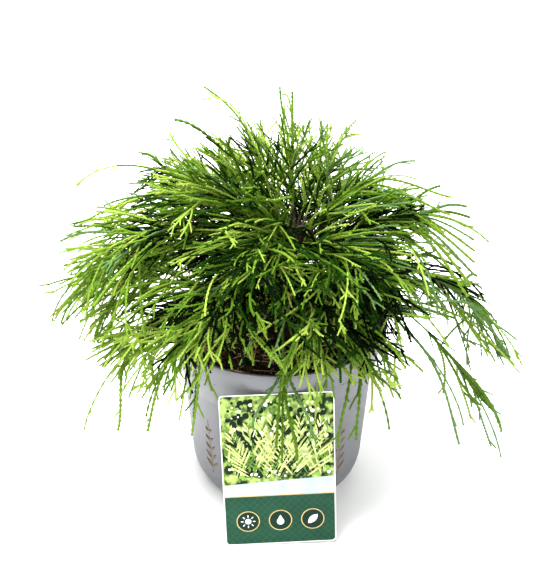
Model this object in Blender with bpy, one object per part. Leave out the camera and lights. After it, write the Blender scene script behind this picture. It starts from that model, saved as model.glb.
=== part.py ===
"""Potted filifera nana sawara cypress: a low weeping shrub of cord-like threads in a round plastic pot.

Metres, +Z up. The origin is the centre of the pot's flat underside, and -Y faces the viewer.
A short trunk stands on the soil. Boughs leave it in three tiers, and each bough carries one mass
of foliage: a stem, threads that branch from it by a seeded rule, and short shoots on the threads.
"""

import math
import random
from dataclasses import dataclass

import bmesh
import bpy
import numpy as np
from mathutils.bvhtree import BVHTree

# Clearance between neighbouring solids
SEAT_GAP = 0.0003
TWIG_GAP = 0.0008
MERGE_DISTANCES = (0.0004, 0.0003, 0.0002, 0.0001, 0.00002, 0.000002)
FLAT_ANGLE = math.radians(1.0)
SHARP_ANGLE = math.radians(32)
LIMB_SHARP_ANGLE = math.radians(60)

# Pot: outer radius and height at the rim, under the flared lip, above the rounded foot and at the foot
POT_HEIGHT = 0.1574
RIM_RADIUS = 0.0950
LIP_HEIGHT = 0.0464
NECK_RADIUS = 0.0832
WAIST_HEIGHT = 0.0320
WAIST_RADIUS = 0.0770
FOOT_RADIUS = 0.0530
POT_WALL = 0.0022
POT_FLOOR = 0.0060
RIM_ROLL = 0.0012
FOOT_CURVES = (1.00, 1.10)
FOOT_CURVE_STEPS = 4
LIP_CURVE = 0.8
LIP_CURVE_SHARES = (0.25, 0.60)
POT_SEGMENTS = 44
NOTCH_COUNT = 6
NOTCH_WIDTH = 0.0090
NOTCH_HEIGHT = 0.0085
NOTCH_INNER = 0.0605
NOTCH_OUTER = 0.0775
FIRST_NOTCH = math.radians(-36)

# Soil: its level under the rim, and the fall from the middle to the wall
SOIL_DROP = 0.0180
SOIL_DOME = 0.0030
SOIL_SEAT_RADIUS = 0.0180
SOIL_SEGMENTS = 28

# Trunk: short stem with a root flare, leaning to the right up to its fork
SOIL_LEVEL = POT_HEIGHT - SOIL_DROP
TRUNK_FOOT = SOIL_LEVEL + SEAT_GAP
TRUNK_FORK = (0.0200, 0.0020, 0.2420)
TRUNK_RADIUS = 0.0060
TRUNK_TOP_RADIUS = 0.0042
FLARE_RADIUS = 0.0130
FLARE_HEIGHT = 0.0060
FLARE_LOBES = 5
FLARE_LOBE_DEPTH = 0.16
TRUNK_SIDES = 15
TRUNK_RINGS = 9
TRUNK_LEAN = 1.35
TRUNK_RING_SPREAD = 1.6
UP = np.array((0.0, 0.0, 1.0))

# Boughs and the stems that carry on from them
CROWN_AXIS = (0.0150, 0.0000)
BOUGH_FOOT_RADIUS = 0.0023
BOUGH_TIP_RADIUS = 0.0017
STEM_TIP_RADIUS = 0.0010
BOUGH_SIDES = 6
BOUGH_RINGS = 4
STEM_SIDES = 4
STEM_RINGS = 7
ARCH_POINTS = 81
LEAD_SHARE = 0.42
TAIL_SHARE = 0.36
FOOT_STEP = 0.0062
FOOT_LEVELS = 3
FOOT_PACE = 0.0002
FOOT_LOOK = 0.0010
FOOT_POINTS = 12

# The crown's roof: its height on the axis, its tilt down to the right, its fall outwards and the
# eaves on the right, where it drops further
ROOF_TOP = 0.3220
ROOF_TILT = 0.17
ROOF_FALL = 3.3
EAVES_START = 0.105
EAVES_SLOPE = 1.6
EAVES_DROP = 0.06

# The window in front through which the soil shows: its sides, its back edge and its top
WINDOW_SIDES = (-0.052, 0.002)
WINDOW_BACK = -0.035
WINDOW_TOP = 0.186

# Threads and shoots: three-sided, and thicker than life so that the crown reads
THREAD_RADIUS = 0.00155
THREAD_TIP_RADIUS = 0.0007
THREAD_SIDES = 3
THREAD_RINGS = 5
THREAD_MIN_LENGTH = 0.030
THREAD_ROOT = 0.016
THREAD_TRIES = 16
THREAD_STEPS = 24
THREAD_LENGTHS = (0.050, 0.150)
THREAD_LENGTH_SHARES = (0.60, 1.15)
THREAD_FIRST_PLACE = 0.05
THREAD_LAST_PLACE = 0.80
THREAD_SPREADS = (10, 50)
THREAD_LIFTS = (-45, 36)
THREAD_SAGS = (0.2, 1.4)
THREAD_BOW = 3.0
TURN_LENGTH = 0.085
FIELD_SOFTNESS = 0.028
FIELD_STEP = 4
SHOOT_RADIUS = 0.0010
SHOOT_LENGTHS = (0.012, 0.026)
SHOOT_ROOT = 0.008
SHOOT_SPREADS = (26, 44)
SHOOT_LIFT = 0.3
SHOOT_RINGS = (1.0, 3.4)
SHOOT_TRIES = 12
SHOOTS_PER_MASS = 4
NOBODY = -9
SAMPLE_STEP = 0.0020
SAMPLE_LEAST = 6
NUDGE = np.array((1e-6, 1e-6, 0.0))
GROUND_CLEAR = 0.0040
SPACE_SLACK = 0.0060
KEPT_SHARE = 0.5
CUT_BACK = 2
SEED = 27

# Care card that leans on the lip: width, height, thickness, corner radius, lean, turn and tilt
CARD_WIDTH = 0.0930
CARD_HEIGHT = 0.1390
CARD_THICKNESS = 0.0006
CARD_CORNER = 0.0032
CARD_LEAN = math.radians(8.4)
CARD_TURN = math.radians(2.2)
CARD_ROLL = math.radians(-1.5)
CARD_FOOT = (0.0033, -0.1121, 0.0018)
CARD_MARGINS = 2
CORNER_STEPS = 4


@dataclass(frozen=True)
class Sweep:
    """One limb's course and the room that its foliage fills.

    Azimuth 0 is to the viewer's right and -90 towards the viewer. The reach and the tip give the
    limb's furthest tip, and the room and the hem how far out and how low its other threads go.
    """

    azimuth: float
    reach: float
    tip: float
    room: float
    hem: float
    fill: float


@dataclass(frozen=True)
class Tier:
    """Boughs that leave the trunk at about one height."""

    name: str
    rise: float
    fall: float
    foot: float
    bough: float
    sag: float
    threads: int
    sweeps: tuple


@dataclass(frozen=True)
class Whip:
    """A single long thread that stands out of the crown."""

    tier: str
    limb: int
    leave: float
    azimuth: float
    reach: float
    tip: float
    fall: float


TIERS = (
    Tier("top", 62, 24, 0.2135, 0.24, 12.0, 10, (
        Sweep(8, 0.100, 0.280, 0.092, 0.225, 0.7),
        Sweep(50, 0.085, 0.300, 0.090, 0.230, 0.6),
        Sweep(108, 0.035, 0.346, 0.085, 0.240, 0.6),
        Sweep(150, 0.088, 0.338, 0.108, 0.235, 0.7),
        Sweep(200, 0.108, 0.278, 0.112, 0.200, 0.9),
        Sweep(243, 0.100, 0.240, 0.112, 0.178, 1.0),
        Sweep(292, 0.104, 0.230, 0.112, 0.172, 1.0),
    )),
    Tier("upper", 58, 46, 0.1945, 0.26, 20.0, 12, (
        Sweep(-2, 0.160, 0.232, 0.136, 0.165, 0.8),
        Sweep(38, 0.150, 0.222, 0.132, 0.160, 0.7),
        Sweep(76, 0.160, 0.218, 0.146, 0.155, 0.8),
        Sweep(117, 0.164, 0.228, 0.150, 0.155, 0.8),
        Sweep(160, 0.205, 0.251, 0.166, 0.165, 0.9),
        Sweep(199, 0.188, 0.224, 0.182, 0.150, 1.0),
        Sweep(238, 0.140, 0.200, 0.142, 0.172, 1.0),
        Sweep(278, 0.135, 0.182, 0.130, 0.165, 1.0),
        Sweep(322, 0.150, 0.184, 0.138, 0.158, 1.0),
    )),
    Tier("lower", 46, 76, 0.1740, 0.28, 21.0, 12, (
        Sweep(-12, 0.188, 0.036, 0.176, 0.105, 0.25),
        Sweep(6, 0.198, 0.100, 0.184, 0.110, 0.35),
        Sweep(56, 0.172, 0.120, 0.155, 0.125, 0.7),
        Sweep(97, 0.178, 0.118, 0.160, 0.122, 0.8),
        Sweep(138, 0.172, 0.120, 0.165, 0.130, 0.8),
        Sweep(175, 0.216, 0.142, 0.192, 0.150, 0.8),
        Sweep(200, 0.190, 0.084, 0.172, 0.140, 0.8),
        Sweep(222, 0.160, 0.128, 0.155, 0.145, 0.8),
        Sweep(265, 0.134, 0.100, 0.130, 0.166, 0.5),
        Sweep(301, 0.140, 0.125, 0.134, 0.156, 0.6),
        Sweep(330, 0.160, 0.100, 0.145, 0.148, 0.5),
    )),
)

WHIPS = (
    Whip("top", 4, 0.50, 137, 0.105, 0.340, -14),
    Whip("top", 3, 0.40, 104, 0.054, 0.346, -78),
    Whip("top", 3, 0.50, 92, 0.070, 0.336, -60),
    Whip("top", 2, 0.50, 50, 0.080, 0.314, -20),
    Whip("top", 1, 0.45, 23, 0.082, 0.297, -12),
    Whip("top", 1, 0.60, 27, 0.115, 0.281, 10),
    Whip("upper", 1, 0.50, 12, 0.124, 0.269, -8),
    Whip("upper", 4, 0.45, 147, 0.122, 0.313, 6),
    Whip("upper", 5, 0.55, 155, 0.145, 0.284, 14),
    Whip("upper", 6, 0.60, 180, 0.196, 0.230, 30),
    Whip("upper", 6, 0.55, 188, 0.192, 0.196, 62),
    Whip("lower", 1, 0.50, -18, 0.166, 0.100, 34),
    Whip("lower", 11, 0.55, -30, 0.158, 0.080, 70),
    Whip("lower", 9, 0.55, 255, 0.134, 0.132, 80),
    Whip("lower", 9, 0.50, 263, 0.132, 0.114, 84),
    Whip("lower", 9, 0.60, 270, 0.134, 0.103, 84),
    Whip("lower", 9, 0.50, 275, 0.137, 0.125, 76),
    Whip("lower", 10, 0.45, 283, 0.140, 0.116, 82),
    Whip("lower", 10, 0.50, 289, 0.140, 0.122, 84),
    Whip("lower", 7, 0.60, 209, 0.168, 0.096, 72),
    Whip("lower", 8, 0.60, 216, 0.150, 0.100, 74),
)

# Colour, roughness and metallic value of each finish
FINISHES = {
    "pot": ((0.34, 0.34, 0.37), 0.55, 0.0),
    "soil": ((0.055, 0.030, 0.018), 0.95, 0.0),
    "bark": ((0.17, 0.10, 0.06), 0.85, 0.0),
    "card": ((0.62, 0.68, 0.60), 0.35, 0.0),
    "top": ((0.25, 0.46, 0.07), 0.60, 0.0),
    "upper": ((0.19, 0.40, 0.05), 0.60, 0.0),
    "lower": ((0.11, 0.29, 0.06), 0.60, 0.0),
}


def clear_scene():
    """Remove whatever objects the file starts with."""
    for item in list(bpy.data.objects):
        bpy.data.objects.remove(item)


def finish(name, kind):
    """Return a new Principled material in one of the named finishes."""
    color, roughness, metallic = FINISHES[kind]
    material = bpy.data.materials.new(name + "_finish")
    material.use_nodes = True
    shader = material.node_tree.nodes["Principled BSDF"]
    shader.inputs["Base Color"].default_value = (*color, 1.0)
    shader.inputs["Roughness"].default_value = roughness
    shader.inputs["Metallic"].default_value = metallic
    return material


def mesh_object(name, vertices, faces, home=None):
    """Return a new object with this mesh, linked to a collection."""
    mesh = bpy.data.meshes.new(name)
    mesh.from_pydata([tuple(vertex) for vertex in vertices], [], faces)
    mesh.update()
    item = bpy.data.objects.new(name, mesh)
    (home or bpy.context.scene.collection).objects.link(item)
    return item


def ring_faces(rings, sides):
    """Return the side faces between successive rings of vertices."""
    faces = []
    for ring in range(rings - 1):
        low = ring * sides
        for side in range(sides):
            nxt = (side + 1) % sides
            faces.append((low + side, low + nxt, low + sides + nxt, low + sides + side))
    return faces


# Pot, soil and card

def pot_profile():
    """Return the pot's outline as radius and height: up the outside and down the inside."""
    neck_height = POT_HEIGHT - LIP_HEIGHT
    outside = [(0.0, 0.0), (FOOT_RADIUS, 0.0)]
    out_curve, up_curve = FOOT_CURVES
    for step in range(1, FOOT_CURVE_STEPS + 1):
        turn = 0.5 * math.pi * step / FOOT_CURVE_STEPS
        radius = FOOT_RADIUS + (WAIST_RADIUS - FOOT_RADIUS) * math.sin(turn) ** out_curve
        outside.append((radius, WAIST_HEIGHT * (1 - math.cos(turn)) ** up_curve))
    outside.append((NECK_RADIUS, neck_height))
    for share in LIP_CURVE_SHARES:
        flare = NECK_RADIUS + (RIM_RADIUS - NECK_RADIUS) * share ** LIP_CURVE
        outside.append((flare, neck_height + LIP_HEIGHT * share))
    outside.append((RIM_RADIUS, POT_HEIGHT - RIM_ROLL))
    outside.append((RIM_RADIUS - 0.4 * RIM_ROLL, POT_HEIGHT))
    inside = [(RIM_RADIUS - POT_WALL, POT_HEIGHT)]
    inside += [(inner_radius(height), height) for height in (neck_height, WAIST_HEIGHT, POT_FLOOR)]
    inside.append((0.0, POT_FLOOR))
    return outside + inside


def inner_radius(height):
    """Return the radius of the pot's inner wall at a height."""
    heights = (0.0, WAIST_HEIGHT, POT_HEIGHT - LIP_HEIGHT, POT_HEIGHT)
    radii = (FOOT_RADIUS, WAIST_RADIUS, NECK_RADIUS, RIM_RADIUS)
    return float(np.interp(height, heights, radii)) - POT_WALL


def turned(name, profile, segments):
    """Return a solid turned round the Z axis from a profile that starts and ends on it."""
    angles = np.arange(segments) * 2 * math.pi / segments
    vertices = [(0.0, 0.0, profile[0][1])]
    for radius, height in profile[1:-1]:
        vertices += [(radius * math.cos(a), radius * math.sin(a), height) for a in angles]
    vertices.append((0.0, 0.0, profile[-1][1]))
    rings = len(profile) - 2
    faces = [tuple(1 + index for index in face) for face in ring_faces(rings, segments)]
    last = len(vertices) - 1
    top = 1 + (rings - 1) * segments
    for side in range(segments):
        nxt = (side + 1) % segments
        faces.append((0, 1 + nxt, 1 + side))
        faces.append((last, top + side, top + nxt))
    return mesh_object(name, vertices, faces)


def cut(target, cutter):
    """Take one solid out of another, and remove the cutter."""
    modifier = target.modifiers.new("cut", "BOOLEAN")
    modifier.operation = "DIFFERENCE"
    modifier.object = cutter
    modifier.solver = "EXACT"
    apply_modifiers(target)
    bpy.data.objects.remove(cutter)


def apply_modifiers(item):
    """Replace an object's mesh by the one its modifiers give."""
    bpy.context.view_layer.update()
    evaluated = item.evaluated_get(bpy.context.evaluated_depsgraph_get())
    mesh = bpy.data.meshes.new_from_object(evaluated)
    mesh.name = item.name
    item.modifiers.clear()
    item.data = mesh


def build_pot():
    """Build the pot, with drain notches under its rounded foot."""
    pot = turned("pot", pot_profile(), POT_SEGMENTS)
    middle = 0.5 * (NOTCH_INNER + NOTCH_OUTER)
    for index in range(NOTCH_COUNT):
        angle = FIRST_NOTCH + index * 2 * math.pi / NOTCH_COUNT
        bpy.ops.mesh.primitive_cube_add(size=1.0)
        notch = bpy.context.object
        notch.scale = (NOTCH_OUTER - NOTCH_INNER, NOTCH_WIDTH, 2 * NOTCH_HEIGHT)
        notch.rotation_euler = (0.0, 0.0, angle)
        notch.location = (middle * math.cos(angle), middle * math.sin(angle), 0.0)
        cut(pot, notch)
    pot.data.shade_smooth()
    pot.data.set_sharp_from_angle(angle=SHARP_ANGLE)
    pot.data.materials.clear()
    pot.data.materials.append(finish("pot", "pot"))


def build_soil():
    """Build the soil that fills the pot, with a flat seat for the trunk."""
    low = POT_FLOOR + SEAT_GAP
    edge = SOIL_LEVEL - SOIL_DOME
    profile = [(0.0, low), (inner_radius(low) - SEAT_GAP, low)]
    for height in (WAIST_HEIGHT, POT_HEIGHT - LIP_HEIGHT, edge):
        profile.append((inner_radius(height) - 2 * SEAT_GAP, height))
    profile.append((0.5 * (SOIL_SEAT_RADIUS + RIM_RADIUS), SOIL_LEVEL - 0.3 * SOIL_DOME))
    profile.append((SOIL_SEAT_RADIUS, SOIL_LEVEL))
    profile.append((0.0, SOIL_LEVEL))
    soil = turned("soil", profile, SOIL_SEGMENTS)
    soil.data.shade_smooth()
    soil.data.set_sharp_from_angle(angle=SHARP_ANGLE)
    soil.data.materials.append(finish("soil", "soil"))


def card_outline():
    """Return the card's outline, round at its corners, as width and height from its foot."""
    half = 0.5 * CARD_WIDTH - CARD_CORNER
    points = []
    corners = ((half, CARD_HEIGHT - CARD_CORNER), (-half, CARD_HEIGHT - CARD_CORNER),
               (-half, CARD_CORNER), (half, CARD_CORNER))
    for quarter, (across, up) in enumerate(corners):
        for step in range(CORNER_STEPS + 1):
            turn = 0.5 * math.pi * (quarter + step / CORNER_STEPS)
            points.append((across + CARD_CORNER * math.cos(turn), up + CARD_CORNER * math.sin(turn)))
    return points


def build_card():
    """Build the care card, its foot at the floor and its head against the pot's lip."""
    outline = card_outline()
    count = len(outline)
    front = [(across, 0.0, up) for across, up in outline]
    back = [(across, CARD_THICKNESS, up) for across, up in outline]
    faces = [(side, side + count, (side + 1) % count + count, (side + 1) % count)
             for side in range(count)]
    faces.append(tuple(range(count)))
    faces.append(tuple(range(2 * count - 1, count - 1, -1)))
    card = mesh_object("care_card", front + back, faces)
    card.rotation_mode = "YXZ"
    card.rotation_euler = (-CARD_LEAN, CARD_ROLL, CARD_TURN)
    card.location = CARD_FOOT
    card.data.materials.append(finish("care_card", "card"))


# Limbs

def unit(vector):
    """Return a vector at length one."""
    vector = np.asarray(vector, dtype=float)
    return vector / np.linalg.norm(vector)


def headings_along(path):
    """Return a path's direction at each of its points."""
    headings = np.gradient(path, axis=0)
    return headings / np.linalg.norm(headings, axis=1)[:, None]


def frames(path, tangents=None):
    """Return two side directions at each point of a path, carried along it without twist."""
    if tangents is None:
        tangents = headings_along(path)
    side = unit(np.cross(tangents[0], (0.31, 0.17, 0.94)))
    sides = []
    for tangent in tangents:
        side = unit(side - tangent * np.dot(side, tangent))
        sides.append(side)
    sides = np.array(sides)
    return sides, np.cross(tangents, sides)


def tube(name, path, radii, sides, home=None, pointed=False, tangents=None):
    """Return a closed flat-sided tube along a path, which may end in a point."""
    across, over = frames(path, tangents)
    vertices = []
    for index, point in enumerate(path):
        if pointed and index == len(path) - 1:
            vertices.append(point)
            continue
        for side in range(sides):
            turn = 2 * math.pi * side / sides
            reach = across[index] * math.cos(turn) + over[index] * math.sin(turn)
            vertices.append(point + radii[index] * reach)
    rings = len(path) - (1 if pointed else 0)
    faces = ring_faces(rings, sides)
    faces.append(tuple(range(sides - 1, -1, -1)))
    last = (rings - 1) * sides
    if pointed:
        tip = len(vertices) - 1
        faces += [(last + side, last + (side + 1) % sides, tip) for side in range(sides)]
    else:
        faces.append(tuple(range(last, last + sides)))
    return mesh_object(name, vertices, faces, home)


def trunk_axis(count=40):
    """Return points up the middle of the trunk."""
    share = np.linspace(0.0, 1.0, count)
    lean = share ** TRUNK_LEAN
    height = TRUNK_FOOT + (TRUNK_FORK[2] - TRUNK_FOOT) * share
    return np.column_stack((TRUNK_FORK[0] * lean, TRUNK_FORK[1] * lean, height))


def trunk_radius(height):
    """Return the trunk's mean radius at a height above its foot."""
    share = np.clip(height / (TRUNK_FORK[2] - TRUNK_FOOT), 0.0, 1.0)
    taper = TRUNK_RADIUS + (TRUNK_TOP_RADIUS - TRUNK_RADIUS) * share
    return taper + (FLARE_RADIUS - TRUNK_RADIUS) * np.exp(-height / FLARE_HEIGHT)


def build_trunk():
    """Build the trunk from its flat foot on the soil to its fork, with root lobes in its flare."""
    axis = trunk_axis()
    total = TRUNK_FORK[2] - TRUNK_FOOT
    vertices = []
    for ring in range(TRUNK_RINGS):
        height = total * (ring / (TRUNK_RINGS - 1)) ** TRUNK_RING_SPREAD
        centre = [np.interp(TRUNK_FOOT + height, axis[:, 2], axis[:, k]) for k in (0, 1)]
        lobe = FLARE_LOBE_DEPTH * math.exp(-height / FLARE_HEIGHT)
        for side in range(TRUNK_SIDES):
            turn = 2 * math.pi * side / TRUNK_SIDES
            radius = trunk_radius(height) * (1 + lobe * math.cos(FLARE_LOBES * turn))
            vertices.append((centre[0] + radius * math.cos(turn),
                             centre[1] + radius * math.sin(turn), TRUNK_FOOT + height))
    faces = ring_faces(TRUNK_RINGS, TRUNK_SIDES)
    faces.append(tuple(range(TRUNK_SIDES - 1, -1, -1)))
    top = (TRUNK_RINGS - 1) * TRUNK_SIDES
    faces.append(tuple(range(top, top + TRUNK_SIDES)))
    trunk = mesh_object("trunk", vertices, faces)
    trunk.data.shade_smooth()
    trunk.data.set_sharp_from_angle(angle=LIMB_SHARP_ANGLE)
    trunk.data.materials.append(finish("trunk", "bark"))


def spot(azimuth, reach, height):
    """Return the point in a direction from the crown's axis, at a reach and a height."""
    turn = math.radians(azimuth)
    return np.array((CROWN_AXIS[0] + reach * math.cos(turn),
                     CROWN_AXIS[1] + reach * math.sin(turn), height))


def smooth_arch(foot, start, tip, end, count):
    """Return evenly spaced points on an arch that starts and ends in these directions."""
    span = np.linalg.norm(tip - foot)
    lead = foot + LEAD_SHARE * span * start
    tail = tip - TAIL_SHARE * span * end
    share = np.linspace(0.0, 1.0, count)[:, None]
    points = ((1 - share) ** 3 * foot + 3 * share * (1 - share) ** 2 * lead
              + 3 * share ** 2 * (1 - share) * tail + share ** 3 * tip)
    lengths = np.concatenate(([0.0], np.cumsum(np.linalg.norm(np.diff(points, axis=0), axis=1))))
    even = np.linspace(0.0, lengths[-1], count)
    return np.column_stack([np.interp(even, lengths, points[:, k]) for k in range(3)])


def arch(tier, order):
    """Return the axis of one limb, from the middle of the trunk to its furthest tip."""
    sweep = tier.sweeps[order]
    turn = math.radians(sweep.azimuth)
    out = np.array((math.cos(turn), math.sin(turn), 0.0))
    axis = trunk_axis()
    level = min(tier.foot + FOOT_STEP * (order % FOOT_LEVELS), TRUNK_FORK[2])
    foot = np.array([np.interp(level, axis[:, 2], axis[:, 0]),
                     np.interp(level, axis[:, 2], axis[:, 1]), level])
    rise, fall = math.radians(tier.rise), math.radians(tier.fall)
    start = math.cos(rise) * out + math.sin(rise) * UP
    end = math.cos(fall) * out - math.sin(fall) * UP
    return smooth_arch(foot, start, spot(sweep.azimuth, sweep.reach, sweep.tip), end, ARCH_POINTS)


def resampled(path, places):
    """Return a path read at fractional point numbers."""
    index = np.arange(len(path))
    return np.column_stack([np.interp(places, index, path[:, k]) for k in range(3)])


def along(points, start, stop, count):
    """Return points between two distances along a path of evenly spaced points."""
    step = np.linalg.norm(points[1] - points[0])
    return resampled(points, np.linspace(start, stop, count) / step)


def along_headings(points, start, stop, count):
    """Return a path's directions between two distances along it."""
    step = np.linalg.norm(points[1] - points[0])
    mixed = resampled(headings_along(points), np.linspace(start, stop, count) / step)
    return mixed / np.linalg.norm(mixed, axis=1)[:, None]


def trunk_spare(points):
    """Return each point's distance from the trunk's side or, above the fork, from its flat top."""
    axis = trunk_axis()
    level = np.clip(points[:, 2], TRUNK_FOOT, TRUNK_FORK[2])
    middle = np.column_stack([np.interp(level, axis[:, 2], axis[:, k]) for k in (0, 1)])
    beside = np.linalg.norm(points[:, :2] - middle, axis=1) - trunk_radius(level - TRUNK_FOOT)
    above = points[:, 2] - level
    return np.where(above > 0, np.hypot(np.maximum(beside, 0.0), above), beside)


def first_clear(points):
    """Return the distance along a limb at which its foot clears the trunk."""
    distance = 0.0
    while True:
        distance += FOOT_PACE
        here, ahead = along(points, distance, distance + FOOT_LOOK, 2)
        heading = unit(ahead - here)
        side = unit(np.cross(heading, UP))
        turns = np.linspace(0.0, 2 * math.pi, FOOT_POINTS, endpoint=False)[:, None]
        ring = here + BOUGH_FOOT_RADIUS * (np.cos(turns) * side + np.sin(turns) * np.cross(side, heading))
        if trunk_spare(ring).min() > SEAT_GAP:
            return distance


# Foliage

class Space:
    """What is already standing: limbs and twigs as round segments, each with an owner."""

    def __init__(self):
        self.starts = np.zeros((0, 3))
        self.stops = np.zeros((0, 3))
        self.radii = np.zeros(0)
        self.owners = np.zeros(0, dtype=int)

    def add(self, path, radii, owner):
        """Record a path of segments."""
        self.starts = np.vstack((self.starts, path[:-1]))
        self.stops = np.vstack((self.stops, path[1:]))
        self.radii = np.concatenate((self.radii, radii[:-1]))
        self.owners = np.concatenate((self.owners, np.full(len(path) - 1, owner)))

    def spare(self, points, owner):
        """Return each point's distance to the nearest surface of another owner than this one."""
        others = self.owners != owner
        if not others.any():
            return np.full(len(points), np.inf)
        start, stop = self.starts[others], self.stops[others]
        run = stop - start
        offset = points[:, None] - start[None]
        share = (offset * run[None]).sum(2) / np.maximum((run * run).sum(1), 1e-12)[None]
        nearest = offset - np.clip(share, 0.0, 1.0)[..., None] * run[None]
        return (np.linalg.norm(nearest, axis=2) - self.radii[others][None]).min(1)


def card_front(points):
    """Return how far each point stands in front of the card's plane."""
    return -(points[:, 1] - CARD_FOOT[1] - math.tan(CARD_LEAN) * points[:, 2]
             - math.tan(CARD_TURN) * (points[:, 0] - CARD_FOOT[0])) * math.cos(CARD_LEAN)


def clear_of_things(points, radius):
    """Say which points of a twig keep clear of the floor, the pot, the soil and the card."""
    margin = radius + TWIG_GAP
    out = np.hypot(points[:, 0], points[:, 1])
    over_pot = points[:, 2] > POT_HEIGHT + margin
    beside_pot = out > RIM_RADIUS + margin
    by_card = np.abs(points[:, 0] - CARD_FOOT[0]) < 0.5 * CARD_WIDTH + CARD_MARGINS * margin
    by_card &= (points[:, 2] < CARD_HEIGHT + CARD_MARGINS * margin) & (points[:, 1] < 0)
    past_card = ~by_card | (card_front(points) > margin)
    return (points[:, 2] > GROUND_CLEAR) & (over_pot | beside_pot) & past_card


def in_room(points, sweep):
    """Say which points of a thread lie above its hem, under the crown's roof and within its room."""
    aside = points[:, 0] - CROWN_AXIS[0]
    from_axis = np.hypot(aside, points[:, 1] - CROWN_AXIS[1])
    roof = ROOF_TOP - ROOF_TILT * aside - ROOF_FALL * from_axis ** 2
    roof -= np.clip(EAVES_SLOPE * (aside - EAVES_START), 0.0, EAVES_DROP)
    left, right = WINDOW_SIDES
    window = (points[:, 0] > left) & (points[:, 0] < right) & (points[:, 1] < WINDOW_BACK)
    window &= points[:, 2] < WINDOW_TOP
    return (points[:, 2] > sweep.hem) & (points[:, 2] < roof) & (from_axis < sweep.room) & ~window


@dataclass
class Mass:
    """One mass of foliage: its limb's axis, its stem and the twigs that grow on it."""

    name: str
    tier: Tier
    sweep: Sweep
    axis: np.ndarray
    length: float
    stem_start: float
    twigs: list
    shoots: list


class Flow:
    """The direction in which the limbs run, at any place in the crown."""

    def __init__(self, axes):
        self.guides = np.vstack([axis[::FIELD_STEP] for axis in axes])
        self.courses = np.vstack([headings_along(axis)[::FIELD_STEP] for axis in axes])

    def at(self, point):
        """Return the direction at a point, taken mostly from the nearest limbs."""
        offset = self.guides - point
        weight = 1.0 / ((offset ** 2).sum(1) + FIELD_SOFTNESS ** 2) ** 2
        return unit(weight @ self.courses)


def limb_distances(points, axes):
    """Return each point's distance to every limb's axis."""
    return np.array([np.linalg.norm(points[:, None] - axis[None], axis=2).min(1) for axis in axes])


def thread_path(start, heading, length, sag, bow, flow):
    """Return a thread that leaves along its heading, falls in with the limbs' flow and sags."""
    points = [start]
    step = length / THREAD_STEPS
    for index in range(1, THREAD_STEPS + 1):
        side = unit(np.cross(heading, UP) + NUDGE)
        turn = step / TURN_LENGTH * (flow.at(points[-1]) - heading)
        turn += step * bow * side - step * sag * index / THREAD_STEPS * UP
        heading = unit(heading + turn)
        points.append(points[-1] + step * heading)
    return resampled(np.array(points), np.linspace(0, THREAD_STEPS, THREAD_RINGS))


def thread_radii():
    """Return a thread's radius at each ring."""
    return np.linspace(THREAD_RADIUS, THREAD_TIP_RADIUS, THREAD_RINGS)


def propose_thread(mass, flow, rng, side):
    """Return a thread that might grow on a mass's stem."""
    first = mass.stem_start / mass.length + THREAD_FIRST_PLACE
    place = mass.length * rng.uniform(first, THREAD_LAST_PLACE)
    here, ahead = along(mass.axis, place, place + SAMPLE_STEP, 2)
    tangent = unit(ahead - here)
    across = unit(np.cross(tangent, UP))
    over = np.cross(across, tangent)
    spread = side * math.tan(math.radians(rng.uniform(*THREAD_SPREADS)))
    lift = math.tan(math.radians(rng.uniform(*THREAD_LIFTS)))
    heading = unit(tangent + spread * across + lift * over)
    shortest, longest = THREAD_LENGTHS
    length = (mass.length - mass.stem_start) * rng.uniform(*THREAD_LENGTH_SHARES)
    length = min(max(length, shortest), longest)
    sag = mass.tier.sag * rng.uniform(*THREAD_SAGS)
    return thread_path(here, heading, length, sag, rng.gauss(0.0, THREAD_BOW), flow)


def keep_to_space(number, path, radii, root, space, axes, sweep=None):
    """Return the stretch of a twig that stays in its own space, or None if that is too short.

    Past its root it also keeps clear of the other twigs of its own mass.
    """
    length = np.linalg.norm(np.diff(path, axis=0), axis=1).sum()
    count = max(int(length / SAMPLE_STEP), SAMPLE_LEAST)
    places = np.linspace(0, len(path) - 1, count)
    points = resampled(path, places)
    thickness = np.interp(places, np.arange(len(path)), radii)
    fine = clear_of_things(points, radii[0])
    fine &= space.spare(points, number) > thickness + TWIG_GAP
    past_root = places / (len(path) - 1) * length > root
    fine &= ~past_root | (space.spare(points, NOBODY) > thickness + TWIG_GAP)
    if sweep:
        near = limb_distances(points, axes)
        fine &= near[number] < np.delete(near, number, axis=0).min(0) + SPACE_SLACK
        fine &= in_room(points, sweep)
    if fine.all():
        return path
    kept = int(np.argmin(fine)) - CUT_BACK
    if kept / count * length < max(THREAD_MIN_LENGTH, KEPT_SHARE * length):
        return None
    return resampled(path, np.linspace(0, places[kept], len(path)))


def grow_whips(masses, space, axes):
    """Grow the single long threads that stand out of the crown."""
    names = [mass.name for mass in masses]
    for whip in WHIPS:
        number = names.index(f"foliage_{whip.tier}_{whip.limb}")
        mass = masses[number]
        foot, ahead = along(mass.axis, whip.leave * mass.length, whip.leave * mass.length + SAMPLE_STEP, 2)
        turn, fall = math.radians(whip.azimuth), math.radians(whip.fall)
        end = np.array((math.cos(fall) * math.cos(turn), math.cos(fall) * math.sin(turn), -math.sin(fall)))
        path = smooth_arch(foot, unit(ahead - foot), spot(whip.azimuth, whip.reach, whip.tip), end,
                           THREAD_RINGS)
        path = keep_to_space(number, path, thread_radii(), THREAD_ROOT, space, axes)
        if path is not None:
            space.add(path, thread_radii(), number)
            mass.twigs.append((path, thread_radii()))


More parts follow.
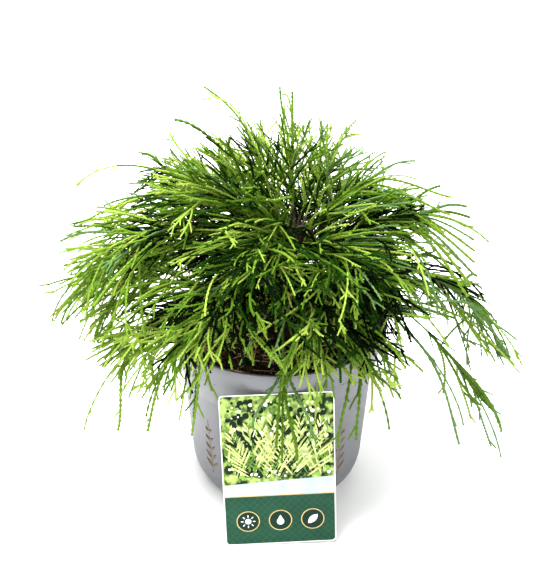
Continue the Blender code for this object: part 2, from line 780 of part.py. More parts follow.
def grow_threads(masses, space, axes, rng):
    """Grow threads on all the masses in turn, so that none crowds the others out."""
    flow = Flow(axes)
    for turn in range(max(mass.tier.threads for mass in masses)):
        for number, mass in enumerate(masses):
            if turn >= mass.tier.threads * mass.sweep.fill ** 0.5:
                continue
            for attempt in range(THREAD_TRIES):
                side = 1 if (turn + attempt) % 2 else -1
                path = propose_thread(mass, flow, rng, side)
                path = keep_to_space(number, path, thread_radii(), THREAD_ROOT, space, axes, mass.sweep)
                if path is not None:
                    space.add(path, thread_radii(), number)
                    mass.twigs.append((path, thread_radii()))
                    break


def grow_shoots(masses, space, axes, rng):
    """Grow short shoots that point forward from the threads."""
    for number, mass in enumerate(masses):
        for _ in range(SHOOT_TRIES):
            if len(mass.shoots) == SHOOTS_PER_MASS or not mass.twigs:
                break
            path, radii = mass.twigs[rng.randrange(len(mass.twigs))]
            place = rng.uniform(*SHOOT_RINGS)
            index = int(place)
            here = path[index] + (place - index) * (path[index + 1] - path[index])
            heading = unit(path[index + 1] - path[index])
            across = unit(np.cross(heading, UP) + NUDGE)
            lean = rng.choice((-1, 1)) * math.tan(math.radians(rng.uniform(*SHOOT_SPREADS)))
            heading = unit(heading + lean * across + rng.uniform(-SHOOT_LIFT, SHOOT_LIFT) * UP)
            length = rng.uniform(*SHOOT_LENGTHS)
            shoot = np.array([here, here + length * heading])
            thickness = np.array([SHOOT_RADIUS, SHOOT_RADIUS])
            kept = keep_to_space(number, shoot, thickness, SHOOT_ROOT, space, axes, mass.sweep)
            if kept is shoot:
                space.add(shoot, thickness, number)
                mass.shoots.append((shoot, thickness))


def fuse(target, parts):
    """Join a collection's solids to the target with one Boolean union, and keep the main body."""
    source = target.data
    for solver in ("EXACT", "MANIFOLD"):
        target.data = source
        modifier = target.modifiers.new("fuse", "BOOLEAN")
        modifier.operation = "UNION"
        modifier.operand_type = "COLLECTION"
        modifier.collection = parts
        modifier.solver = solver
        apply_modifiers(target)
        if tidy(target.data):
            break
    for part in list(parts.objects):
        bpy.data.objects.remove(part)
    bpy.data.collections.remove(parts)


def tidy(mesh):
    """Simplify a fused mesh as far as it stays sound, and say whether it is."""
    for merge_distance in MERGE_DISTANCES:
        model = main_body(mesh, merge_distance)
        sound = is_sound(model)
        if sound:
            model.to_mesh(mesh)
        model.free()
        if sound:
            return True
    return False


def main_body(mesh, merge_distance):
    """Return a mesh without short edges, flat splits, loose scraps and sealed hollows."""
    model = bmesh.new()
    model.from_mesh(mesh)
    bmesh.ops.triangulate(model, faces=model.faces)
    bmesh.ops.dissolve_degenerate(model, dist=merge_distance, edges=model.edges)
    bmesh.ops.dissolve_limit(model, angle_limit=FLAT_ANGLE, verts=model.verts, edges=model.edges)
    bmesh.ops.triangulate(model, faces=model.faces)
    unseen = set(model.faces)
    bodies = []
    while unseen:
        stack = [unseen.pop()]
        body = []
        while stack:
            face = stack.pop()
            body.append(face)
            for edge in face.edges:
                for other in edge.link_faces:
                    if other in unseen:
                        unseen.remove(other)
                        stack.append(other)
        bodies.append(body)
    bodies.sort(key=len)
    for body in bodies[:-1]:
        bmesh.ops.delete(model, geom=body, context="FACES")
    return model


def is_sound(model):
    """Say whether a mesh is closed and no two of its faces cross or touch away from a shared corner."""
    if not all(edge.is_manifold for edge in model.edges):
        return False
    model.faces.ensure_lookup_table()
    corners = [{vertex.index for vertex in face.verts} for face in model.faces]
    tree = BVHTree.FromBMesh(model)
    pairs = tree.overlap(tree)
    return not any(one < two and not corners[one] & corners[two] for one, two in pairs)


def build_bough(name, points, start, stop):
    """Build one bough as a single tapering limb."""
    radii = np.linspace(BOUGH_FOOT_RADIUS, BOUGH_TIP_RADIUS, BOUGH_RINGS)
    path = along(points, start, stop, BOUGH_RINGS)
    courses = along_headings(points, start, stop, BOUGH_RINGS)
    bough = tube(name, path, radii, BOUGH_SIDES, tangents=courses)
    bough.data.shade_smooth()
    bough.data.set_sharp_from_angle(angle=LIMB_SHARP_ANGLE)
    bough.data.materials.append(finish(name, "bark"))
    return path, radii


def build_foliage(mass):
    """Build one mass: its stem with the threads and shoots fused on."""
    radii = np.linspace(BOUGH_TIP_RADIUS, STEM_TIP_RADIUS, STEM_RINGS)
    path = along(mass.axis, mass.stem_start, mass.length, STEM_RINGS)
    courses = along_headings(mass.axis, mass.stem_start, mass.length, STEM_RINGS)
    foliage = tube(mass.name, path, radii, STEM_SIDES, pointed=True, tangents=courses)
    parts = bpy.data.collections.new(mass.name + "_twigs")
    bpy.context.scene.collection.children.link(parts)
    for number, (twig, thickness) in enumerate(mass.twigs + mass.shoots):
        tube(f"{mass.name}_twig_{number}", twig, thickness, THREAD_SIDES, parts, pointed=True)
    fuse(foliage, parts)
    foliage.data.materials.clear()
    foliage.data.materials.append(finish(mass.name, mass.tier.name))


def build_crown():
    """Build all boughs and masses of foliage."""
    rng = random.Random(SEED)
    space = Space()
    axis = trunk_axis()
    space.add(axis, trunk_radius(axis[:, 2] - TRUNK_FOOT), -1)
    masses = []
    for tier in TIERS:
        for order in range(len(tier.sweeps)):
            points = arch(tier, order)
            length = np.linalg.norm(np.diff(points, axis=0), axis=1).sum()
            stop = tier.bough * length
            path, radii = build_bough(f"bough_{tier.name}_{order + 1}", points, first_clear(points), stop)
            space.add(path, radii, -2)
            masses.append(Mass(f"foliage_{tier.name}_{order + 1}", tier, tier.sweeps[order], points,
                               length, stop + SEAT_GAP, [], []))
    for number, mass in enumerate(masses):
        stem = along(mass.axis, mass.stem_start, mass.length, STEM_RINGS)
        space.add(stem, np.linspace(BOUGH_TIP_RADIUS, STEM_TIP_RADIUS, STEM_RINGS), number)
    axes = [mass.axis for mass in masses]
    grow_whips(masses, space, axes)
    grow_threads(masses, space, axes, rng)
    grow_shoots(masses, space, axes, rng)
    for mass in masses:
        build_foliage(mass)


def main():
    """Build the whole plant in its pot."""
    clear_scene()
    build_pot()
    build_soil()
    build_card()
    build_trunk()
    build_crown()


main()
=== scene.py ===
"""Looks of a potted filifera nana sawara cypress, dressed round its fixed frame.

A weeping shrub of cord-like threads stands in a round grey plastic pot of dark soil, with a care
card that leans on the pot. Lengths are metres, +Z is up and -Y faces the viewer.
"""

import logging
import math
from dataclasses import dataclass, field
from enum import Enum

import bpy
import numpy as np
from mathutils import Euler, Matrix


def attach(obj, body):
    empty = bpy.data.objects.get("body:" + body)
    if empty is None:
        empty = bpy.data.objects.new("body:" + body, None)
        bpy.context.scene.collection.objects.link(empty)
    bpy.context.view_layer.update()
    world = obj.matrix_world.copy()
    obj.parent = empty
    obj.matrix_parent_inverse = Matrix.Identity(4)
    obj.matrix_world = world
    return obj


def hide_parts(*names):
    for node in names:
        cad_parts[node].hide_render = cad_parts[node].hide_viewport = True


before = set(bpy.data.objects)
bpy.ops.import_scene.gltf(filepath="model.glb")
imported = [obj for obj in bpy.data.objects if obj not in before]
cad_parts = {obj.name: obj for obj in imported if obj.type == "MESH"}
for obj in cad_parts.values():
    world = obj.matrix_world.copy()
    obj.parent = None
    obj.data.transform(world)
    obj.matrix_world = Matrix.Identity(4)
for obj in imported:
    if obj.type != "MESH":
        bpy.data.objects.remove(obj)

LOG = logging.getLogger("cypress")
BODY = "root"
UP = np.array((0.0, 0.0, 1.0))

Color = tuple[float, float, float]
Arrays = tuple[np.ndarray, np.ndarray]


def unit(vectors: np.ndarray) -> np.ndarray:
    """Scale vectors to length one.

    Args:
        vectors: one vector, or an array whose last axis holds vectors.

    Returns:
        The vectors at length one.
    """
    vectors = np.asarray(vectors, dtype=float)
    return vectors / np.maximum(np.linalg.norm(vectors, axis=-1, keepdims=True), 1e-12)


def resample(paths: np.ndarray, places: np.ndarray) -> np.ndarray:
    """Read paths of evenly spaced points at fractional places.

    Args:
        paths: array of N paths with P points each.
        places: array of N rows of fractional point numbers.

    Returns:
        An array of N paths with as many points as there are places in a row.
    """
    low = np.clip(np.floor(places).astype(int), 0, paths.shape[1] - 2)
    share = (places - low)[..., None]
    rows = np.arange(len(paths))[:, None]
    return paths[rows, low] * (1 - share) + paths[rows, low + 1] * share


def mesh_piece(name: str, vertices: np.ndarray, faces: np.ndarray, smooth: bool = True) -> bpy.types.Object:
    """Make a mesh object from arrays.

    Args:
        name: the piece's name.
        vertices: array of points.
        faces: array of corner numbers, one face of three or four corners a row.
        smooth: whether its faces are shaded smooth.

    Returns:
        The new object, linked to the scene.
    """
    mesh = bpy.data.meshes.new(name)
    count, corners = faces.shape
    mesh.vertices.add(len(vertices))
    mesh.vertices.foreach_set("co", np.ascontiguousarray(vertices, dtype=np.float32).ravel())
    mesh.loops.add(count * corners)
    mesh.loops.foreach_set("vertex_index", np.ascontiguousarray(faces, dtype=np.int32).ravel())
    mesh.polygons.add(count)
    mesh.polygons.foreach_set("loop_start", np.arange(0, count * corners, corners, dtype=np.int32))
    mesh.polygons.foreach_set("use_smooth", np.full(count, smooth))
    mesh.update(calc_edges=True)
    mesh.validate()
    piece = bpy.data.objects.new(name, mesh)
    bpy.context.scene.collection.objects.link(piece)
    return piece


def joined(parts: list[Arrays]) -> Arrays:
    """Join several meshes given as arrays into one.

    Args:
        parts: vertices and faces of each mesh.

    Returns:
        The vertices and faces of them all.
    """
    offsets = np.cumsum([0] + [len(vertices) for vertices, _ in parts[:-1]])
    faces = [own + offset for (_, own), offset in zip(parts, offsets)]
    return np.vstack([vertices for vertices, _ in parts]), np.vstack(faces)


def tubes(paths: np.ndarray, radii: np.ndarray, sides: int) -> Arrays:
    """Make many closed tubes at once, each along its own path.

    Args:
        paths: array of N paths with R points each.
        radii: array of N rows with a radius at each point.
        sides: how many sides each tube has.

    Returns:
        The vertices and the triangles of all the tubes.
    """
    count, rings = radii.shape
    tangents = unit(np.gradient(paths, axis=1))
    side = unit(np.cross(tangents[:, 0], (0.31, 0.17, 0.94)))
    across = np.empty_like(paths)
    for ring in range(rings):
        tangent = tangents[:, ring]
        side = unit(side - tangent * (side * tangent).sum(-1, keepdims=True))
        across[:, ring] = side
    over = np.cross(tangents, across)
    turns = 2 * np.pi * (np.arange(sides)[None] / sides + 0.5 * (np.arange(rings) % 2)[:, None] / sides)
    cosine, sine = np.cos(turns)[None, :, :, None], np.sin(turns)[None, :, :, None]
    spread = across[:, :, None] * cosine + over[:, :, None] * sine
    points = paths[:, :, None] + radii[:, :, None, None] * spread
    points = points.reshape(count, rings * sides, 3)
    faces = []
    for ring in range(rings - 1):
        low, high = ring * sides, (ring + 1) * sides
        for number in range(sides):
            ahead = (number + 1) % sides
            upper, beyond = high + number, high + ahead
            if ring % 2:
                faces += [(low + number, beyond, upper), (low + number, low + ahead, beyond)]
            else:
                faces += [(low + number, low + ahead, upper), (low + ahead, beyond, upper)]
    last = (rings - 1) * sides
    faces += [(0, step + 1, step) for step in range(1, sides - 1)]
    faces += [(last, last + step, last + step + 1) for step in range(1, sides - 1)]
    offsets = (np.arange(count) * rings * sides)[:, None, None]
    return points.reshape(-1, 3), (np.array(faces)[None] + offsets).reshape(-1, 3)


def turned(profile: list[tuple[float, float]], segments: int) -> Arrays:
    """Turn a profile that starts and ends on the Z axis into a closed solid.

    Args:
        profile: radius and height of each point.
        segments: how many segments the turn has.

    Returns:
        The vertices and the triangles.
    """
    angles = np.arange(segments) * 2 * math.pi / segments
    rings = [np.column_stack((radius * np.cos(angles), radius * np.sin(angles), np.full(segments, level)))
             for radius, level in profile[1:-1]]
    vertices = np.vstack(([(0, 0, profile[0][1])], *rings, [(0, 0, profile[-1][1])]))
    here = np.arange(segments)
    ahead = (here + 1) % segments
    faces = []
    for ring in range(len(rings) - 1):
        low, high = 1 + ring * segments, 1 + (ring + 1) * segments
        faces.append(np.column_stack((low + here, low + ahead, high + ahead)))
        faces.append(np.column_stack((low + here, high + ahead, high + here)))
    top = 1 + (len(rings) - 1) * segments
    faces.append(np.column_stack((np.zeros_like(here), 1 + ahead, 1 + here)))
    faces.append(np.column_stack((np.full_like(here, len(vertices) - 1), top + here, top + ahead)))
    return vertices, np.vstack(faces)


BOX_CORNERS = np.array([(x, y, z) for z in (-0.5, 0.5) for y in (-0.5, 0.5) for x in (-0.5, 0.5)])
BOX_FACES = np.array(((0, 2, 3), (0, 3, 1), (4, 5, 7), (4, 7, 6), (0, 1, 5), (0, 5, 4),
                      (2, 6, 7), (2, 7, 3), (0, 4, 6), (0, 6, 2), (1, 3, 7), (1, 7, 5)))


def boxes(middles: np.ndarray, sizes: np.ndarray, turns: np.ndarray) -> Arrays:
    """Make many boxes, each with its own size and turn.

    Args:
        middles: N middles.
        sizes: N sizes along the box's own axes.
        turns: N turns, as Euler angles.

    Returns:
        The vertices and the triangles.
    """
    corners = BOX_CORNERS[None] * sizes[:, None]
    matrices = np.array([Euler(turn).to_matrix() for turn in turns])
    points = middles[:, None] + np.einsum("nij,nkj->nki", matrices, corners)
    faces = BOX_FACES[None] + (np.arange(len(middles)) * len(BOX_CORNERS))[:, None, None]
    return points.reshape(-1, 3), faces.reshape(-1, 3)


def place(piece: bpy.types.Object, slot: str, *nodes: str) -> None:
    """Fix a piece to the plant's body and hide the nodes it stands for.

    Args:
        piece: the piece.
        slot: the record's material slot; not used.
        nodes: the nodes it replaces.
    """
    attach(piece, BODY)
    if nodes:
        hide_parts(*nodes)
    LOG.info("%s: %d faces", piece.name, len(piece.data.polygons))


class ShaderKit:
    """Shader node groups that several finishes share."""

    def __init__(self) -> None:
        """Build the groups once."""
        self.mottle = self._mottle()
        self.wear = self._wear()

    @staticmethod
    def _group(name: str, inputs: dict[str, str], outputs: dict[str, str]) -> tuple:
        """Make an empty group with named sockets.

        Args:
            name: the group's name.
            inputs: kind of each input socket by name.
            outputs: kind of each output socket by name.

        Returns:
            The group, its entry node and its exit node.
        """
        group = bpy.data.node_groups.new(name, "ShaderNodeTree")
        for label, kind in inputs.items():
            group.interface.new_socket(name=label, in_out="INPUT", socket_type="NodeSocket" + kind)
        for label, kind in outputs.items():
            group.interface.new_socket(name=label, in_out="OUTPUT", socket_type="NodeSocket" + kind)
        return group, group.nodes.new("NodeGroupInput"), group.nodes.new("NodeGroupOutput")

    def _mottle(self) -> bpy.types.NodeTree:
        """Build the group that mixes two colours by noise, with a height for bumps."""
        group, entry, leave = self._group(
            "mottle", {"Light": "Color", "Dark": "Color", "Scale": "Float", "Contrast": "Float"},
            {"Color": "Color", "Height": "Float"})
        nodes, links = group.nodes, group.links
        where = nodes.new("ShaderNodeTexCoord")
        noise = nodes.new("ShaderNodeTexNoise")
        noise.inputs["Detail"].default_value = 6.0
        shift = nodes.new("ShaderNodeMath")
        shift.operation = "SUBTRACT"
        shift.inputs[1].default_value = 0.5
        spread = nodes.new("ShaderNodeMath")
        spread.operation = "MULTIPLY_ADD"
        spread.use_clamp = True
        spread.inputs[2].default_value = 0.5
        mix = nodes.new("ShaderNodeMix")
        mix.data_type = "RGBA"
        links.new(where.outputs["Object"], noise.inputs["Vector"])
        links.new(entry.outputs["Scale"], noise.inputs["Scale"])
        links.new(noise.outputs["Fac"], shift.inputs[0])
        links.new(shift.outputs[0], spread.inputs[0])
        links.new(entry.outputs["Contrast"], spread.inputs[1])
        links.new(spread.outputs[0], mix.inputs["Factor"])
        links.new(entry.outputs["Dark"], mix.inputs["A"])
        links.new(entry.outputs["Light"], mix.inputs["B"])
        links.new(mix.outputs["Result"], leave.inputs["Color"])
        links.new(noise.outputs["Fac"], leave.inputs["Height"])
        return group

    def _wear(self) -> bpy.types.NodeTree:
        """Build the group that varies roughness between two values in handled patches."""
        group, entry, leave = self._group(
            "wear", {"Scale": "Float", "Smooth": "Float", "Rough": "Float"},
            {"Roughness": "Float", "Height": "Float"})
        nodes, links = group.nodes, group.links
        where = nodes.new("ShaderNodeTexCoord")
        noise = nodes.new("ShaderNodeTexNoise")
        noise.inputs["Detail"].default_value = 4.0
        reach = nodes.new("ShaderNodeMapRange")
        reach.inputs["From Min"].default_value = 0.3
        reach.inputs["From Max"].default_value = 0.7
        links.new(where.outputs["Object"], noise.inputs["Vector"])
        links.new(entry.outputs["Scale"], noise.inputs["Scale"])
        links.new(noise.outputs["Fac"], reach.inputs["Value"])
        links.new(entry.outputs["Smooth"], reach.inputs["To Min"])
        links.new(entry.outputs["Rough"], reach.inputs["To Max"])
        links.new(reach.outputs["Result"], leave.inputs["Roughness"])
        links.new(noise.outputs["Fac"], leave.inputs["Height"])
        return group


def new_shader(name: str) -> tuple:
    """Make a material and return it with its nodes, its links and its Principled shader."""
    material = bpy.data.materials.new(name)
    material.use_nodes = True
    tree = material.node_tree
    return material, tree.nodes, tree.links, tree.nodes["Principled BSDF"]


def add_group(nodes: bpy.types.Nodes, tree: bpy.types.NodeTree, **values: object) -> bpy.types.Node:
    """Place a shared group in a material.

    Args:
        nodes: the material's nodes.
        tree: the group.
        values: the value of each named input.

    Returns:
        The group's node.
    """
    node = nodes.new("ShaderNodeGroup")
    node.node_tree = tree
    for label, value in values.items():
        node.inputs[label].default_value = value
    return node


@dataclass(frozen=True)
class MottledFinish:
    """A surface whose colour wanders between two tones, with a fine relief.

    Attributes:
        name: the material's name.
        light: its lighter colour.
        dark: its darker colour.
        scale: the colour noise's scale.
        contrast: how strongly the tones part.
        smooth: its lowest roughness.
        rough: its highest roughness.
        bump: height of the relief in metres.
        shine: strength of its gloss.
    """

    name: str
    light: Color
    dark: Color
    scale: float = 60.0
    contrast: float = 3.0
    smooth: float = 0.6
    rough: float = 0.8
    bump: float = 0.0003
    shine: float = 0.5

    def material(self, kit: ShaderKit) -> bpy.types.Material:
        """Return a new material of this finish, made with the shared groups."""
        material, nodes, links, shader = new_shader(self.name)
        shader.inputs["Specular IOR Level"].default_value = self.shine
        mottle = add_group(nodes, kit.mottle, Light=(*self.light, 1.0), Dark=(*self.dark, 1.0),
                           Scale=self.scale, Contrast=self.contrast)
        wear = add_group(nodes, kit.wear, Scale=0.4 * self.scale, Smooth=self.smooth, Rough=self.rough)
        bump = nodes.new("ShaderNodeBump")
        bump.inputs["Distance"].default_value = self.bump
        links.new(mottle.outputs["Color"], shader.inputs["Base Color"])
        links.new(wear.outputs["Roughness"], shader.inputs["Roughness"])
        links.new(mottle.outputs["Height"], bump.inputs["Height"])
        links.new(bump.outputs["Normal"], shader.inputs["Normal"])
        return material


class Tone(Enum):
    """Linear base colours of the threads; SHADE is painted shade, a near-black tone that stands for the shadow deep
    in the crown.
    """

    LIME = (0.255, 0.350, 0.060)
    FRESH = (0.142, 0.236, 0.024)
    MID = (0.074, 0.150, 0.009)
    DEEP = (0.012, 0.041, 0.003)
    BLUE = (0.108, 0.192, 0.062)
    # painted shade: near black, for threads that stand in the crown's shadowed hollows
    SHADE = (0.0012, 0.0048, 0.0007)
    STRAW = (0.185, 0.170, 0.038)
    UMBER = (0.022, 0.012, 0.005)


DARK_TONES = (Tone.SHADE, Tone.UMBER, Tone.DEEP)


@dataclass(frozen=True)
class ThreadFinish:
    """The waxy scale-leaf surface of a thread in one plain tone.

    Attributes:
        tone: its colour.
        scale: how fine the scale leaves are.
        smooth: its lowest roughness.
        rough: its highest roughness.
        bump: height of the scale leaves in metres.
        shine: strength of its gloss.
    """

    tone: Tone
    scale: float = 900.0
    smooth: float = 0.38
    rough: float = 0.60
    bump: float = 0.0003
    shine: float = 0.11

    def material(self, kit: ShaderKit) -> bpy.types.Material:
        """Return a new material in this tone, made with the shared groups."""
        material, nodes, links, shader = new_shader("thread_" + self.tone.name.lower())
        shader.inputs["Base Color"].default_value = (*self.tone.value, 1.0)
        shader.inputs["Specular IOR Level"].default_value = self.shine
        wear = add_group(nodes, kit.wear, Scale=self.scale, Smooth=self.smooth, Rough=self.rough)
        bump = nodes.new("ShaderNodeBump")
        bump.inputs["Distance"].default_value = self.bump
        links.new(wear.outputs["Roughness"], shader.inputs["Roughness"])
        links.new(wear.outputs["Height"], bump.inputs["Height"])
        links.new(bump.outputs["Normal"], shader.inputs["Normal"])
        return material


@dataclass
class Pot:
    """The round grey pot: flared collar, rounded foot, drain notches and a sprig in relief."""

    height: float = 0.1574
    rim_radius: float = 0.0950
    lip_height: float = 0.0464
    neck_radius: float = 0.0832
    waist_height: float = 0.0320
    waist_radius: float = 0.0770
    foot_radius: float = 0.0530
    wall: float = 0.0022
    floor: float = 0.0060
    rim_roll: float = 0.0009
    segments: int = 176
    notch_count: int = 6
    notch_width: float = 0.0090
    notch_height: float = 0.0085
    notch_inner: float = 0.0605
    notch_outer: float = 0.0775
    first_notch: float = math.radians(-36)
    sprig_azimuths: tuple[float, ...] = (45.0, 135.0, 223.0, 313.0)
    sprig_foot: float = 0.030
    sprig_height: float = 0.058
    sprig_pairs: int = 5
    leaflet: float = 0.0105
    line: float = 0.00045

    @property
    def neck(self) -> float:
        """Height of the collar's lower edge."""
        return self.height - self.lip_height

    def outside(self) -> list[tuple[float, float]]:
        """Return the outer outline as radius and height, from the foot to the rim."""
        points = [(self.foot_radius, 0.0)]
        for turn in np.linspace(0.0, 0.5 * math.pi, 13)[1:]:
            radius = self.foot_radius + (self.waist_radius - self.foot_radius) * math.sin(turn)
            points.append((radius, self.waist_height * (1 - math.cos(turn)) ** 1.1))
        for share in (0.25, 0.5, 0.75, 0.97, 1.0):
            points.append((self.waist_radius + (self.neck_radius - self.waist_radius) * share,
                           self.waist_height + (self.neck - self.waist_height) * share))
        for share in (0.05, 0.1, 0.25, 0.45, 0.65, 0.85):
            flare = self.neck_radius + (self.rim_radius - self.neck_radius) * share ** 0.8
            points.append((flare, self.neck + self.lip_height * share))
        points.append((self.rim_radius, self.height - self.rim_roll))
        return points

    def radius_at(self, level: np.ndarray) -> np.ndarray:
        """Return the outer radius at each height."""
        radii, heights = zip(*self.outside())
        return np.interp(level, heights, radii)

    def profile(self) -> list[tuple[float, float]]:
        """Return the whole outline as radius and height, up the outside and down the inside."""
        points = [(0.0, 0.0), *self.outside()]
        points += [(self.rim_radius - 0.3 * self.rim_roll, self.height - 0.3 * self.rim_roll),
                   (self.rim_radius - self.rim_roll, self.height),
                   (self.rim_radius - self.wall, self.height - 0.3 * self.rim_roll)]
        heights = (0.0, self.waist_height, self.neck, self.height)
        radii = (self.foot_radius, self.waist_radius, self.neck_radius, self.rim_radius)
        for level in np.linspace(self.height - 0.01, self.floor, 8):
            points.append((float(np.interp(level, heights, radii)) - self.wall, float(level)))
        points.append((0.0, self.floor))
        return points

    def build(self, kit: ShaderKit) -> None:
        """Build and dress the pot.

        Args:
            kit: the shared node groups.
        """
        piece = mesh_piece("pot_shell", *turned(self.profile(), self.segments))
        self._cut_notches(piece)
        piece.data.set_sharp_from_angle(angle=math.radians(40))
        plastic = MottledFinish("pot_plastic", (0.172, 0.173, 0.184), (0.150, 0.151, 0.163), scale=16.0,
                                contrast=1.6, smooth=0.36, rough=0.50, bump=0.00004)
        piece.data.materials.append(plastic.material(kit))
        place(piece, "pot", "pot")
        ochre = MottledFinish("sprig_ochre", (0.225, 0.170, 0.110), (0.165, 0.125, 0.085), scale=200.0,
                              contrast=2.0, smooth=0.40, rough=0.55, bump=0.00002)
        self._sprigs(ochre.material(kit))

    def _cut_notches(self, piece: bpy.types.Object) -> None:
        """Cut the drain notches under the rounded foot."""
        turns = self.first_notch + np.arange(self.notch_count) * 2 * math.pi / self.notch_count
        middle = 0.5 * (self.notch_inner + self.notch_outer)
        middles = middle * np.column_stack((np.cos(turns), np.sin(turns), np.zeros_like(turns)))
        size = (self.notch_outer - self.notch_inner, self.notch_width, 2 * self.notch_height)
        cutter = mesh_piece("notch_cutter", *boxes(middles, np.tile(size, (self.notch_count, 1)),
                                                   np.outer(turns, UP)))
        modifier = piece.modifiers.new("notches", "BOOLEAN")
        modifier.object = cutter
        evaluated = piece.evaluated_get(bpy.context.evaluated_depsgraph_get())
        mesh = bpy.data.meshes.new_from_object(evaluated)
        piece.modifiers.clear()
        piece.data = mesh
        bpy.data.objects.remove(cutter)

    def _sprigs(self, ochre: bpy.types.Material) -> None:
        """Lay an upright sprig of leaflets on the wall at each azimuth, as fine raised lines."""
        lines, radii = [], []
        share = np.linspace(0.0, 1.0, 13)
        for azimuth in self.sprig_azimuths:
            lines.append(self._on_wall(azimuth, np.outer(share, (0.0, self.sprig_height))))
            radii.append(self.line * (1.15 - 0.6 * share))
            for pair in range(self.sprig_pairs):
                low = self.sprig_height * (0.10 + 0.17 * pair)
                size = self.leaflet * (1.0 - 0.12 * pair)
                for side in (-1, 1):
                    leaf = np.outer(share, (side * 0.7 * size, 0.75 * size)) + (0.0, low)
                    lines.append(self._on_wall(azimuth, leaf))
                    radii.append(self.line * (0.4 + 2.4 * np.sin(math.pi * share)))
        piece = mesh_piece("pot_sprigs", *tubes(np.array(lines), np.array(radii), 6))
        piece.data.materials.append(ochre)
        place(piece, "pot")

    def _on_wall(self, azimuth: float, flat: np.ndarray) -> np.ndarray:
        """Wrap a flat line, given as width and height above the sprig's foot, round the wall."""
        level = self.sprig_foot + flat[:, 1]
        radius = self.radius_at(level)
        turn = math.radians(azimuth) + flat[:, 0] / radius
        return np.column_stack((radius * np.cos(turn), radius * np.sin(turn), level))


@dataclass
class Soil:
    """Dark moist soil, darkened further as painted shade under the crown, with bark chips, straw and roots, inside
    the pot.
    """

    radius: float = 0.0905
    level: float = 0.1394
    dome: float = 0.0030
    rings: int = 70
    spokes: int = 150
    chips: int = 700
    fibres: int = 260
    seed: int = 5

    def build(self, kit: ShaderKit) -> None:
        """Build and dress the soil and what lies on it.

        Args:
            kit: the shared node groups.
        """
        rng = np.random.default_rng(self.seed)
        ground = mesh_piece("soil_top", *self._ground(rng), smooth=False)
        # painted shade: the earth is darker than its own colour, for the crown's shadow over it
        earth = MottledFinish("soil_earth", (0.026, 0.013, 0.007), (0.004, 0.003, 0.002), scale=240.0,
                              contrast=4.0, smooth=0.8, rough=1.0, bump=0.0012)
        ground.data.materials.append(earth.material(kit))
        place(ground, "soil", "soil")
        bark = MottledFinish("soil_bark_chips", (0.240, 0.075, 0.026), (0.030, 0.013, 0.007), scale=160.0,
                             contrast=3.5, smooth=0.7, rough=0.95, bump=0.0005)
        chips = mesh_piece("soil_chips", *self._chips(rng, self.chips, (0.0055, 0.0028, 0.0012)), smooth=False)
        chips.data.materials.append(bark.material(kit))
        place(chips, "soil")
        # straw's own pale colour, lifted near white as painted light so the fibres look lit in the crown's shade
        straw = MottledFinish("soil_straw", (0.950, 0.780, 0.420), (0.560, 0.300, 0.120), scale=130.0,
                              contrast=3.0, smooth=0.6, rough=0.85, bump=0.0002)
        fibres = mesh_piece("soil_fibres", *self._fibres(rng))
        fibres.data.materials.append(straw.material(kit))
        place(fibres, "soil")

    def _surface(self, out: np.ndarray) -> np.ndarray:
        """Return the soil's height at each distance from the middle."""
        return self.level - self.dome * (out / self.radius) ** 2

    def _ground(self, rng: np.random.Generator) -> Arrays:
        """Return the crumbly ground, closed underneath."""
        radii = np.linspace(0.0, self.radius, self.rings)
        angles = np.arange(self.spokes) * 2 * math.pi / self.spokes
        grid_r, grid_a = np.meshgrid(radii[1:], angles, indexing="ij")
        height = self._surface(grid_r) + rng.normal(0.0, 0.0008, grid_r.shape)
        top = np.column_stack(((grid_r * np.cos(grid_a)).ravel(), (grid_r * np.sin(grid_a)).ravel(),
                               height.ravel()))
        low = self.level - 4 * self.dome
        vertices = np.vstack(([(0.0, 0.0, self.level)], top, [(0.0, 0.0, low)]))
        here = np.arange(self.spokes)
        ahead = (here + 1) % self.spokes
        faces = [np.column_stack((np.zeros_like(here), 1 + here, 1 + ahead))]
        for ring in range(self.rings - 2):
            inner, outer = 1 + ring * self.spokes, 1 + (ring + 1) * self.spokes
            faces.append(np.column_stack((inner + here, outer + here, outer + ahead)))
            faces.append(np.column_stack((inner + here, outer + ahead, inner + ahead)))
        edge = 1 + (self.rings - 2) * self.spokes
        faces.append(np.column_stack((edge + ahead, edge + here, np.full_like(here, len(vertices) - 1))))
        return vertices, np.vstack(faces)

    def _chips(self, rng: np.random.Generator, count: int, size: Color) -> Arrays:
        """Return flat chips that lie about on the soil."""
        out = (self.radius - 0.006) * np.sqrt(rng.uniform(0.02, 1.0, count))
        turn = rng.uniform(0.0, 2 * math.pi, count)
        sizes = np.array(size) * rng.uniform(0.35, 1.25, (count, 3))
        lift = rng.uniform(0.1, 1.0, count) * sizes[:, 2]
        middles = np.column_stack((out * np.cos(turn), out * np.sin(turn), self._surface(out) + lift))
        turns = np.column_stack((rng.normal(0.0, 0.35, count), rng.normal(0.0, 0.35, count),
                                 rng.uniform(0.0, 2 * math.pi, count)))
        return boxes(middles, sizes, turns)

    def _fibres(self, rng: np.random.Generator) -> Arrays:
        """Return curved straws and root fibres that lie on the soil."""
        rings = 8
        out = (self.radius - 0.016) * np.sqrt(rng.uniform(0.05, 1.0, self.fibres))
        turn = rng.uniform(0.0, 2 * math.pi, self.fibres)
        heading = rng.uniform(0.0, 2 * math.pi, self.fibres)
        curl = rng.normal(0.0, 0.9, self.fibres)
        length = rng.uniform(0.006, 0.024, self.fibres)
        share = np.linspace(0.0, 1.0, rings)[None]
        course = heading[:, None] + curl[:, None] * share
        step = length[:, None] / (rings - 1)
        x = (out * np.cos(turn))[:, None] + np.cumsum(np.cos(course) * step, axis=1)
        y = (out * np.sin(turn))[:, None] + np.cumsum(np.sin(course) * step, axis=1)
        arch = 0.0022 * np.sin(math.pi * share) * rng.uniform(0.0, 1.6, self.fibres)[:, None]
        z = self._surface(np.hypot(x, y)) + 0.0012 + arch
        radii = np.tile(0.00052 * (1.2 - 0.6 * share), (self.fibres, 1))
        return tubes(np.stack((x, y, z), axis=2), radii, 4)


